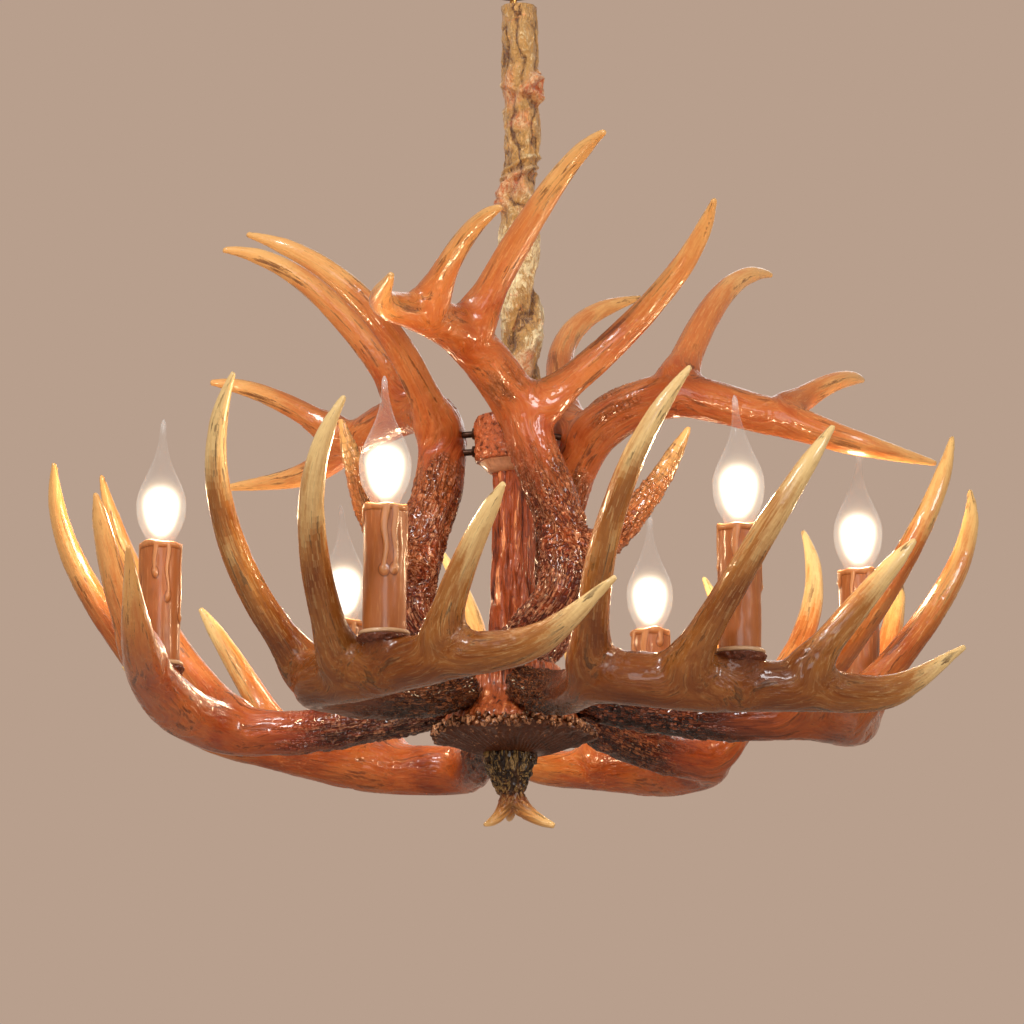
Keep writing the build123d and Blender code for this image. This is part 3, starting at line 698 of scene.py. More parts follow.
@dataclass
class Mould:
    """The master shape that several cast antlers share.

    Lengths are in millimetres, apart from blend_reach, near_gaps and, along a limb,
    bark_end and bark_roots, which are in metres. A low height is added away from the tips.
    """

    name: str
    beam: tuple[Point, ...]
    radii: tuple[float, ...]
    tines: tuple[TineSize, ...]
    beam_tones: Profile
    tine_tones: tuple[tuple[float, float], ...]
    bark_end: float
    bosses: tuple[Boss, ...] = ()
    voxel: float = 1.5
    webbing: int = 160
    web_reach: float = 26.0
    relief: float = 1.0
    tall: float = 1.0
    bark_roots: dict[int, float] = field(default_factory=dict)
    beam_steps: int = 160
    limb_sides: int = 28
    blend_reach: float = 0.0035
    web_step: float = 0.7
    web_inward_share: float = 0.06
    normals_every: int = 20
    even_step: float = 0.5
    even_turns: int = 4
    grooves: Pattern = Pattern(scale=170, octaves=2, seed=3.1, along=0.16)
    scores: Pattern = Pattern(scale=260, octaves=2, seed=6.3, along=0.08)
    lumps: Pattern = Pattern(scale=120, octaves=3, seed=9.4, along=0.45)
    worms: Pattern = Pattern(scale=215, octaves=2, seed=5.2, along=0.5)
    swell: Pattern = Pattern(scale=38, octaves=2, seed=1.3, along=0.3)
    bark_streaks: Pattern = Pattern(scale=130, octaves=2, seed=7.7, along=0.14)
    groove_height: float = 0.55
    bark_groove_height: float = 0.6
    score_depth: float = 0.28
    low_score_depth: float = 0.25
    swell_height: float = 0.3
    low_swell_height: float = 0.5
    lump_height: float = 1.4
    worm_height: float = 1.8
    tip_tones: tuple[float, float] = (0.55, 0.95)
    bark_fade: tuple[float, float] = (0.45, 1.15)
    bark_ragged: float = 0.16
    bark_streaked: float = 0.3
    near_gaps: tuple[float, float] = (-0.02, 0.05)
    points: np.ndarray = field(init=False)
    faces: list = field(init=False)
    grain: np.ndarray = field(init=False)
    tone: np.ndarray = field(init=False)
    bark: np.ndarray = field(init=False)
    crotch: np.ndarray = field(init=False)

    def cast(self) -> None:
        """Builds the master: limbs joined, crotches filled, bark and grooves raised."""
        line, shares = curve_through(np.array(self.beam) * MM, self.beam_steps)
        radii = np.interp(np.linspace(0, 1, self.beam_steps), shares, np.array(self.radii) * MM)
        limbs = [Limb(line, radii, (0.0, 1.0))]
        limbs += [tine.limb(tones) for tine, tones in zip(self.tines, self.tine_tones)]
        limbs += [boss.limb() for boss in self.bosses]
        self.points, self.faces = self._fuse(limbs)
        self._measure(limbs)
        self._soften()
        self._measure(limbs)
        self._carve()

    def _fuse(self, limbs: list[Limb]) -> tuple[np.ndarray, list]:
        """Joins the limbs' tubes into one skin of even quads."""
        talls = [self.tall] + [1.0] * (len(limbs) - 1)
        tubes = [tube(limb.line, limb.radii, self.limb_sides, tall) for limb, tall in zip(limbs, talls)]
        rough = mesh_piece(f"{self.name}_rough", *joined(tubes))
        remesh = rough.modifiers.new("even", "REMESH")
        remesh.mode = "VOXEL"
        remesh.voxel_size = self.voxel * MM
        evaluated = rough.evaluated_get(bpy.context.evaluated_depsgraph_get())
        mesh = bpy.data.meshes.new_from_object(evaluated)
        skin = np.zeros(len(mesh.vertices) * 3)
        mesh.vertices.foreach_get("co", skin)
        quads = [tuple(face.vertices) for face in mesh.polygons]
        bpy.data.objects.remove(rough)
        bpy.data.meshes.remove(mesh)
        return skin.reshape(-1, 3), quads

    def _measure(self, limbs: list[Limb]) -> None:
        """Finds each point's grain, tone, bark and nearness to a crotch from the limbs by it."""
        count = len(self.points)
        total, grain, tone, along = np.zeros(count), np.zeros((count, 3)), np.zeros(count), np.zeros(count)
        gaps = []
        stem = limbs[0].line
        stem_run = run_along(stem)
        for number, limb in enumerate(limbs):
            run = run_along(limb.line)
            begins = stem_run[np.linalg.norm(stem - limb.line[0], axis=1).argmin()] if number else 0.0
            nearest, gap = self._nearest(limb)
            gaps.append(gap)
            frames = frames_along(limb.line)
            out = self.points - limb.line[nearest]
            up, across = (np.array([frame[axis] for frame in frames])[nearest] for axis in (1, 2))
            local = np.stack([
                np.einsum("ij,ij->i", out, up),
                np.einsum("ij,ij->i", out, across),
                run[nearest] + begins,
            ], axis=1)
            weight = np.exp(-np.clip(gap, *self.near_gaps) / self.blend_reach)
            total += weight
            grain += local * weight[:, None]
            tone += self._limb_tone(number, limb, run[nearest] / run[-1]) * weight
            bark_root = self.bark_roots.get(number, 1.0) if number else 0.0
            along += (bark_root + run[nearest]) * weight
        self.grain = grain / total[:, None]
        self.tone = tone / total
        ragged = Pattern(5.6 / self.bark_end, octaves=3, seed=7.7).at(self.points) * self.bark_ragged
        ragged += self.bark_streaks.at(self.grain) * self.bark_streaked
        edge = along / total + ragged * self.bark_end
        self.bark = 1 - smooth_step(edge, *(self.bark_end * share for share in self.bark_fade))
        second_gap = np.sort(np.array(gaps), axis=0)[1]
        self.crotch = 1 - smooth_step(second_gap, self.web_reach * 0.3 * MM, self.web_reach * MM)

    def _limb_tone(self, number: int, limb: Limb, share: np.ndarray) -> np.ndarray:
        """The tone at shares of a limb's length: the beam has its own stops."""
        if number == 0:
            return np.interp(share, *zip(*self.beam_tones))
        low, high = limb.tones
        return low + (high - low) * share**1.15

    def _nearest(self, limb: Limb) -> tuple[np.ndarray, np.ndarray]:
        """The nearest step of a limb's line and the gap to its skin, for each point."""
        best = np.zeros(len(self.points), int)
        gap = np.full(len(self.points), 1.0)
        for index, (centre, radius) in enumerate(zip(limb.line, limb.radii)):
            distance = np.linalg.norm(self.points - centre, axis=1) - radius
            closer = distance < gap
            best[closer] = index
            gap[closer] = distance[closer]
        return best, gap

    def _quads(self) -> np.ndarray:
        """The faces that have four corners."""
        return np.array([face for face in self.faces if len(face) == 4])

    def _edges(self) -> np.ndarray:
        """Each pair of neighbouring points, once."""
        quads = self._quads()
        pairs = np.vstack([quads[:, [k, (k + 1) % 4]] for k in range(4)])
        return np.unique(np.sort(pairs, axis=1), axis=0)

    def _soften(self) -> None:
        """Fills the crotches between limbs to webs and evens the skin elsewhere."""
        edges = self._edges()
        count = len(self.points)
        degree = np.bincount(edges.ravel(), minlength=count)[:, None]
        web = self.crotch[:, None]

        def average(values: np.ndarray) -> np.ndarray:
            """Each point's neighbours' mean."""
            total = np.stack([
                np.bincount(edges[:, 0], values[edges[:, 1], k], count)
                + np.bincount(edges[:, 1], values[edges[:, 0], k], count)
                for k in range(3)
            ], axis=1)
            return total / degree

        for turn in range(self.webbing):
            if turn % self.normals_every == 0:
                normals = self._normals()
            pull = average(self.points) - self.points
            outward = np.einsum("ij,ij->i", pull, normals)[:, None]
            hollow = np.where(outward > 0, 1.0, self.web_inward_share)
            self.points = self.points + self.web_step * web * hollow * pull
        for _ in range(self.even_turns):
            self.points = self.points + self.even_step * (average(self.points) - self.points)

    def _normals(self) -> np.ndarray:
        """Each point's outward direction."""
        quads = self._quads()
        first, second, third, fourth = (self.points[quads[:, corner]] for corner in range(4))
        face = np.cross(third - first, fourth - second)
        total = np.zeros_like(self.points)
        for k in range(4):
            np.add.at(total, quads[:, k], face)
        return total / np.maximum(np.linalg.norm(total, axis=1), 1e-12)[:, None]

    def _carve(self) -> None:
        """Raises bark, pearls and lengthwise grooves on the skin."""
        scores = self.scores.lines(self.grain, sharpness=5)
        worms = self.worms.lines(self.grain, sharpness=2.6)
        low = 1 - smooth_step(self.tone, *self.tip_tones)
        lift = (
            self.grooves.at(self.grain) * (self.groove_height + self.bark_groove_height * self.bark) * low
            - scores * (self.score_depth + self.low_score_depth * low) * (1 - self.bark)
            + self.lumps.at(self.grain) * self.bark * self.lump_height
            + worms * self.bark * self.worm_height
            + self.swell.at(self.grain) * (self.swell_height + self.low_swell_height * low)
        ) * MM
        self.points = self.points + self._normals() * (lift * self.relief)[:, None]


@dataclass
class AntlerSet:
    """The cast antlers of one mould, each turned to its place."""

    mould: Mould
    pivot: Point
    arms: dict[str, tuple[float, float, float, float]]
    tones: dict[str, Tone]
    prefix: str

    def place(self, arm: str) -> Matrix:
        """Where one antler stands: bearing, yaw, tilt and roll about the pivot."""
        bearing, yaw, tilt, roll = (math.radians(angle) for angle in self.arms[arm])
        pivot = Vector(self.pivot) * MM
        lean = Matrix.Rotation(-tilt, 4, "Y") @ Matrix.Rotation(roll, 4, "X")
        turn = Matrix.Translation((0, 0, DATUM)) @ Matrix.Rotation(bearing + yaw, 4, "Z")
        return turn @ Matrix.Translation(pivot) @ lean @ Matrix.Translation(-pivot)

    def build(self, paint: Paint) -> None:
        """Casts the mould and hangs one dressed copy at each place.

        Args:
            paint: The finishes.
        """
        mould = self.mould
        mould.cast()
        LOG.info("%s mould: %d points", mould.name, len(mould.points))
        for arm in self.arms:
            piece = mesh_piece(f"{self.prefix}_{arm}_cast", mould.points, mould.faces)
            store(piece, grain=mould.grain, tone=mould.tone, bark=mould.bark)
            piece.data.transform(self.place(arm))
            paint.dress(piece, self.tones[arm], "antler_resin", f"{self.prefix}_{arm}")


LOWER_MOULD = Mould(
    name="lower",
    beam=(
        (40, -16.6, 28.5), (66, -20, 22), (93, -24, 16), (155, -40, 8), (197, -48, 9), (234, 4, 11),
        (251, 66, 19), (256, 148, 33), (260, 201, 73),
    ),
    radii=(12.0, 13.2, 13.2, 14.0, 16.0, 16.8, 15.6, 10.2, 2.2),
    tines=(
        TineSize((190, -50, 9), (284, -120, 113), (307, -68, 201), 12.4, 2.2),
        TineSize((230, -6, 11), (335, -12, 110), (331, 31, 179), 12.6, 2.2),
        TineSize((250, 74, 21), (276, 84, 60), (291, 131, 129), 12.0, 2.2),
    ),
    tall=1.14,
    beam_tones=((0.0, 0.06), (0.22, 0.16), (0.4, 0.4), (0.75, 0.5), (0.88, 0.74), (1.0, 1.0)),
    tine_tones=((0.44, 1.0), (0.46, 1.0), (0.5, 1.0)),
    bark_end=0.125,
    bosses=(Boss((248, 29, 8), (248, 29, 33), 9.0, 16.5),),
)

UPPER_MOULD = Mould(
    name="upper",
    beam=(
        (24, 10, 50), (37, 23, 64), (57, 43, 90), (54, 42, 130), (50, 21, 178), (61, -6, 226),
        (96, -40, 250), (158, -69, 241), (224, -99, 222), (291, -93, 216),
    ),
    radii=(10.5, 12.0, 15.5, 17.0, 17.0, 17.5, 16.5, 14.0, 9.4, 2.4),
    tines=(
        TineSize((53, 38, 126), (62, 76, 98), (75, 119, 217), 11.6, 2.0),
        TineSize((54, 4, 216), (47, 107, 325), (153, 115, 357), 12.6, 2.3),
        TineSize((102, -44, 249), (157, 1, 366), (219, 34, 368), 12.6, 2.3),
        TineSize((169, -72, 237), (232, -53, 285), (265, -28, 284), 10.4, 2.3),
    ),
    beam_tones=((0.0, 0.1), (0.12, 0.2), (0.25, 0.3), (0.45, 0.46), (0.75, 0.55), (0.9, 0.78), (1.0, 1.0)),
    tine_tones=((0.3, 0.98), (0.46, 0.96), (0.48, 0.96), (0.52, 0.92)),
    bark_end=0.235,
    bark_roots={1: 0.1},
)

LOWER_SET = AntlerSet(
    mould=LOWER_MOULD,
    pivot=(40, 0, 34),
    arms={
        "front_left": (-120, 3.5, 0.0, -5.0),
        "front_right": (-60, 0.5, -1.5, -6.5),
        "right": (0, 2.0, 1.0, 2.5),
        "back_right": (60, -1.0, -1.5, 0.0),
        "back_left": (120, -6.0, -0.5, 2.0),
        "left": (180, 0.0, 2.5, 5.0),
    },
    tones={
        "front_left": Tone.OLIVE,
        "front_right": Tone.OLIVE,
        "right": Tone.DEEP,
        "back_right": Tone.AMBER,
        "back_left": Tone.AMBER,
        "left": Tone.WARM,
    },
    prefix="lower_antler",
)

UPPER_SET = AntlerSet(
    mould=UPPER_MOULD,
    pivot=(30, 10, 200),
    arms={"front": (-90, 2.0, 7.5, -7.5), "left": (150, 3.5, 0.5, -2.0), "right": (30, -5.0, -1.5, 2.5)},
    tones={"front": Tone.WARM, "left": Tone.WARM, "right": Tone.WARM},
    prefix="upper_antler",
)


# ------------------------------------------------------------------ other finishes
@dataclass(frozen=True)
class BarkFinish:
    """Glossy cast resin with bark ridges, for the middle of the fixture."""

    name: str
    dark: Colour
    mid: Colour
    pale: Colour
    along: float = 0.12
    scale: float = 300.0
    depth: float = 0.0012
    contrast: float = 1.0
    coat: float = 0.35

    def make(self) -> bpy.types.Material:
        """Builds the material, which reads where the mesh has pearls.

        Returns:
            The material.
        """
        s = Shader(self.name)
        place = s.place()
        ridges = s.noise(s.stretch(place, self.along), scale=self.scale, detail=5, roughness=0.64, warp=0.7)
        worm = s.noise(s.stretch(place, 0.55), scale=self.scale * 0.9, detail=4, roughness=0.62, warp=1.5)
        drift = s.noise(place, scale=55, detail=3)
        shade = ((ridges - 0.5) * 1.9 * self.contrast + (drift - 0.5) * 0.7 + 0.5).clamp()
        colour = s.ramp(shade, ((0.0, self.dark), (0.45, self.mid), (0.78, self.mid), (1.0, self.pale)))
        colour = s.mix(worm.band(0.62, 0.74) * 0.4, colour, self.pale)
        colour = s.mix(worm.band(0.44, 0.34) * 0.55, colour, self.dark)
        rough = (0.3 + (1 - shade) * 0.22).clamp(0.15, 0.8)
        # Painted highlight: the pearls are lightened towards the pale colour.
        colour = s.mix(s.attribute("pearl") * worm.band(0.46, 0.6) * 0.6, colour, self.pale)
        return s.finish(
            Base_Color=colour, Roughness=rough, Normal=s.bump(ridges * 0.7 + worm * 0.5, self.depth),
            Coat_Weight=self.coat, **RESIN_GLOSS,
        )


@dataclass(frozen=True)
class WaxFinish:
    """Brown candle plastic with a soft gloss and darker runs."""

    name: str
    base: Colour
    dark: Colour
    light: Colour

    def make(self) -> bpy.types.Material:
        """Builds the material, which reads the mesh's drip heights.

        Returns:
            The material.
        """
        s = Shader(self.name)
        place = s.place()
        drip = s.attribute("drip")
        cloud = s.noise(s.stretch(place, 0.3), scale=90, detail=4, roughness=0.6, warp=0.5)
        fine = s.noise(s.stretch(place, 0.1), scale=500, detail=3)
        colour = s.mix(cloud.band(0.2, 0.5), s.mix(0.5, self.dark, self.base), self.base)
        colour = s.mix(fine.band(0.52, 0.74) * 0.35, colour, self.light)
        colour = s.mix(drip.band(0.25, 0.8) * 0.5, colour, self.light)
        run_edge = (1 - ((drip - 0.14) * 11) ** 2).clamp()
        colour = s.mix(run_edge * 0.65, colour, self.dark)
        return s.finish(
            Base_Color=colour, Roughness=(0.3 + cloud * 0.16).clamp(), IOR=1.42,
            Normal=s.bump(cloud * 0.5 + fine * 0.3, 0.0005), Coat_Weight=0.35, Coat_Roughness=0.1,
        )


@dataclass(frozen=True)
class ClothFinish:
    """Crinkled satin: a fine weave, crumples, a blush in the ruffles, and painted light and shade on its
    folds.
    """

    name: str
    dark: Colour
    base: Colour
    light: Colour
    blush: Colour

    def make(self) -> bpy.types.Material:
        """Builds the material, which reads the mesh's painted fold shading and blush.

        Returns:
            The material.
        """
        s = Shader(self.name)
        place = s.place()
        crease = s.attribute("crease")
        blush = s.attribute("blush")
        crumple = s.noise(place, scale=130, detail=4, roughness=0.6, warp=1.2)
        mottle = s.noise(place, scale=400, detail=4, roughness=0.7, warp=0.8)
        wrinkle = s.noise(s.stretch(place, 0.5), scale=150, detail=3, roughness=0.6, warp=1.6)
        pleat = s.noise(s.stretch(place, 0.6, across=1.2), scale=210, detail=3, roughness=0.6, warp=1.3)
        # Dark wrinkle lines are painted shade, light pleat lines painted highlight; both are also bumps.
        shaded_valley = s.ridges(wrinkle, middle=0.5, sharpness=16)
        highlit_crest = s.ridges(pleat, middle=0.47, sharpness=14)
        threads = s.noise(s.stretch(place, 9.0), scale=520, detail=2)
        cross = s.noise(s.stretch(place, 1.0, across=8.0), scale=520, detail=2)
        mottled = (crumple - 0.5) * 0.7 + (mottle - 0.5) * 0.3
        # Painted light and shade: the mesh's fold shading, darker wrinkle lines and lighter pleat tops, over
        # random crumple mottling.
        shade = (crease * 0.85 + mottled + highlit_crest * 0.22 - shaded_valley * 0.3 + 0.13).clamp()
        colour = s.ramp(shade, ((0.0, self.dark), (0.4, self.base), (0.66, self.base), (1.0, self.light)))
        colour = s.mix((blush + crumple.band(0.58, 0.7) * 0.5).clamp() * 0.8, colour, self.blush)
        # Painted highlight on the pleat tops where the cloth is blushed.
        colour = s.mix(highlit_crest * blush * 0.6, colour, self.light)
        height = crumple + mottle * 0.1 + highlit_crest * 0.3 - shaded_valley * 0.35 + threads * 0.04 + cross * 0.04
        return s.finish(
            Base_Color=colour, Roughness=(0.48 - crumple * 0.22).clamp(),
            Metallic=crumple.band(0.45, 0.8) * 0.3, Normal=s.bump(height, 0.0011),
            Sheen_Weight=0.3, Sheen_Roughness=0.4,
        )


@dataclass(frozen=True)
class MetalFinish:
    """Plated or painted metal with grain, tarnish and worn spots."""

    name: str
    base: Colour
    tarnish: Colour
    metallic: float = 1.0
    roughness: float = 0.32
    grain: float = 0.1
    coat: float = 0.0

    def make(self) -> bpy.types.Material:
        """Builds the material.

        Returns:
            The material.
        """
        s = Shader(self.name)
        place = s.place()
        brushed = s.noise(s.stretch(place, self.grain), scale=900, detail=3, roughness=0.6)
        patina = s.noise(place, scale=130, detail=5, roughness=0.65, warp=0.6)
        spots = s.cells(place, 620)
        colour = s.mix(patina.band(0.48, 0.72) * 0.7, self.base, self.tarnish)
        colour = s.mix(spots.band(0.16, 0.05) * 0.3, colour, self.tarnish)
        rough = (self.roughness + (patina - 0.5) * 0.25 + (brushed - 0.5) * 0.12).clamp(0.08, 0.9)
        return s.finish(
            Base_Color=colour, Roughness=rough, Metallic=self.metallic,
            Normal=s.bump(brushed * 0.6 + patina * 0.4, 0.00025), Coat_Weight=self.coat,
        )


@dataclass(frozen=True)
class PlasticFinish:
    """Moulded plastic or rubber with a fine orange-peel skin."""

    name: str
    base: Colour
    shade: Colour
    roughness: float = 0.42

    def make(self) -> bpy.types.Material:
        """Builds the material.

        Returns:
            The material.
        """
        s = Shader(self.name)
        place = s.place()
        peel = s.noise(place, scale=1400, detail=3, roughness=0.5)
        cloud = s.noise(place, scale=120, detail=3)
        colour = s.mix(cloud.band(0.4, 0.75) * 0.5, self.base, self.shade)
        rough = (self.roughness + (cloud - 0.5) * 0.2).clamp()
        return s.finish(Base_Color=colour, Roughness=rough, Normal=s.bump(peel, 0.00012))


@dataclass(frozen=True)
class GlassFinish:
    """Clear bulb glass that glows white round the filament and thins to its tip."""

    name: str
    tint: Colour = (0.93, 0.9, 0.86)
    glow: Colour = (1.0, 0.86, 0.66)
    strength: float = 0.9

    def make(self) -> bpy.types.Material:
        """Builds the material, which reads the mesh's height share.

        Returns:
            The material.
        """
        s = Shader(self.name)
        rise = s.attribute("rise")
        ripple = s.noise(s.place(), scale=160, detail=3)
        facing = s.facing(0.35)
        lit = rise.band(0.60, 0.25) * (0.4 + rise.band(0.0, 0.15) * 0.6)
        heart = lit * (1 - facing) ** 1.5
        tip = rise.band(0.86, 0.97)
        return s.finish(
            Base_Color=s.mix(ripple * 0.3, self.tint, WHITE), Roughness=0.04 + ripple * 0.04,
            Alpha=(0.05 + facing ** 2.5 * 0.6 + heart * 0.16 + tip * 0.2).clamp(),
            Emission_Color=s.mix(heart, BLACK, self.glow), Emission_Strength=self.strength,
            Normal=s.bump(ripple, 0.0003), Coat_Weight=0.4, Coat_Roughness=0.03,
        )


@dataclass(frozen=True)
class GlowFinish:
    """The lit filament: white at its heart, warm at its ends."""

    name: str
    heart: Colour = (1.0, 0.93, 0.8)
    edge: Colour = (1.0, 0.72, 0.42)
    strength: float = 1.8

    def make(self) -> bpy.types.Material:
        """Builds the material, which reads the mesh's height share.

        Returns:
            The material.
        """
        s = Shader(self.name)
        rise = s.attribute("rise")
        heat = (1 - s.facing(0.5)) ** 2 * (0.5 + rise.band(0.0, 0.2) * 0.5) * rise.band(1.0, 0.5)
        colour = s.mix(heat.band(0.05, 0.45), self.edge, self.heart)
        return s.finish(
            Base_Color=s.mix(0.8, colour, BLACK), Roughness=0.6, Alpha=heat.band(-0.05, 0.85),
            Emission_Color=colour, Emission_Strength=self.strength,
        )


FINISHES = {
    "candle": WaxFinish(
        "candle_plastic_brown", linear(162, 92, 44), linear(84, 38, 12), linear(216, 152, 96)
    ),
    "ring": PlasticFinish("candle_ring", linear(206, 164, 124), linear(160, 112, 72), roughness=0.25),
    "seat": BarkFinish(
        "candle_seat_burr", linear(40, 12, 4), linear(104, 48, 22), linear(190, 128, 92),
        along=0.8, scale=420, depth=0.0016,
    ),
    "glass": GlassFinish("bulb_glass_clear"),
    "glow": GlowFinish("filament_lit"),
    "holder": PlasticFinish("lampholder_plastic", linear(66, 42, 28), linear(40, 26, 18)),
    "column": BarkFinish(
        "column_bark", linear(66, 12, 2), linear(158, 70, 28), linear(236, 150, 96),
        along=0.07, scale=230, depth=0.0022, contrast=1.6,
    ),
    "top_hub": BarkFinish(
        "top_hub_bark", linear(66, 18, 6), linear(182, 94, 52), linear(244, 170, 124),
        along=0.7, scale=260, depth=0.0022, contrast=1.4,
    ),
    "disc": BarkFinish(
        "top_hub_bevel", linear(150, 92, 64), linear(198, 144, 112), linear(232, 190, 160),
        along=1.0, scale=150, depth=0.0005, contrast=0.5,
    ),
    "hub": BarkFinish(
        "bottom_hub_ribs", linear(60, 16, 4), linear(162, 78, 34), linear(234, 152, 98),
        along=0.1, scale=260, depth=0.002, contrast=1.5,
    ),
    "rosette": BarkFinish(
        "rosette_bronze", linear(14, 4, 1), linear(84, 38, 10), linear(238, 172, 124), along=1.0, scale=260
    ),
    "finial": AntlerFinish(
        "finial_flecked", linear(28, 10, 3), linear(96, 58, 24), linear(142, 74, 30), linear(204, 142, 72),
        linear(238, 194, 128), linear(52, 20, 8), linear(214, 174, 108), roughness=0.3, coarseness=2.1,
    ),
    "sleeve": ClothFinish(
        "sleeve_satin", linear(104, 58, 16), linear(198, 146, 78), linear(255, 230, 176), linear(214, 112, 62)
    ),
    "bronze": MetalFinish(
        "canopy_bronze", linear(122, 78, 44), linear(58, 34, 20),
        metallic=0.75, roughness=0.38, grain=1.0, coat=0.3,
    ),
    "brass": MetalFinish("fitting_brass", linear(190, 142, 78), linear(112, 76, 38), roughness=0.3),
    "steel": MetalFinish("zinc_plate", linear(178, 178, 176), linear(122, 120, 116), roughness=0.36),
    "screw": MetalFinish("screw_dark", linear(74, 50, 38), linear(34, 22, 18), metallic=0.85, roughness=0.4),
    "white": PlasticFinish("terminal_plastic", linear(232, 228, 218), linear(206, 200, 188)),
    "cord": PlasticFinish("flex_sheath", linear(176, 146, 98), linear(140, 110, 66), roughness=0.5),
    **ANTLER_FINISHES,
}


class Paint:
    """Makes each finish once and hands it out by name."""

    def __init__(self) -> None:
        """Starts with nothing made."""
        self.made: dict[str | Tone, bpy.types.Material] = {}

    def __getitem__(self, name: str | Tone) -> bpy.types.Material:
        """The material of a finish, made on first use."""
        if name not in self.made:
            self.made[name] = FINISHES[name].make()
        return self.made[name]

    def dress(
        self, piece: bpy.types.Object, name: str | Tone, slot: str, *nodes: str, body: str = "fixture"
    ) -> None:
        """Gives a piece its finish and body, and hides the nodes that it stands for.

        Args:
            piece: The piece.
            name: The finish's name.
            slot: The record's material slot; not used.
            *nodes: CAD nodes that it stands for.
            body: The body that it rides on.
        """
        piece.data.materials.append(self[name])
        if nodes:
            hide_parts(*nodes)
        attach(piece, body)
        LOG.info("%s done", piece.name)


# ------------------------------------------------------------------ chain sleeve
@dataclass(frozen=True)
class Ruffle:
    """A frill that opens out of the sleeve like a small cup.

    Its angle is in degrees and its half width in radians round the sleeve.
    """

    z: float
    angle: float
    out: float
    height: float
    width: float
    lip: tuple[Wave, ...] = (Wave(0.2, 3, 1), Wave(0.12, 5))

    def reach(self, height: np.ndarray, angle: np.ndarray) -> np.ndarray:
        """How far each place is from the cup's middle, as a share of its ragged lip."""
        swing = (angle - math.radians(self.angle) + np.pi) % (2 * np.pi) - np.pi
        up, across = (height - self.z) / self.height, swing / self.width
        spin = np.arctan2(up, across)
        return np.hypot(up, across) * sum((wave.at(spin) for wave in self.lip), 1)


@dataclass(frozen=True)
class Swathe:
    """A tight fold wound round the sleeve on a slant, highest at one angle, in degrees."""

    z: float
    slant: float
    high: float
    rise: float
    half: float


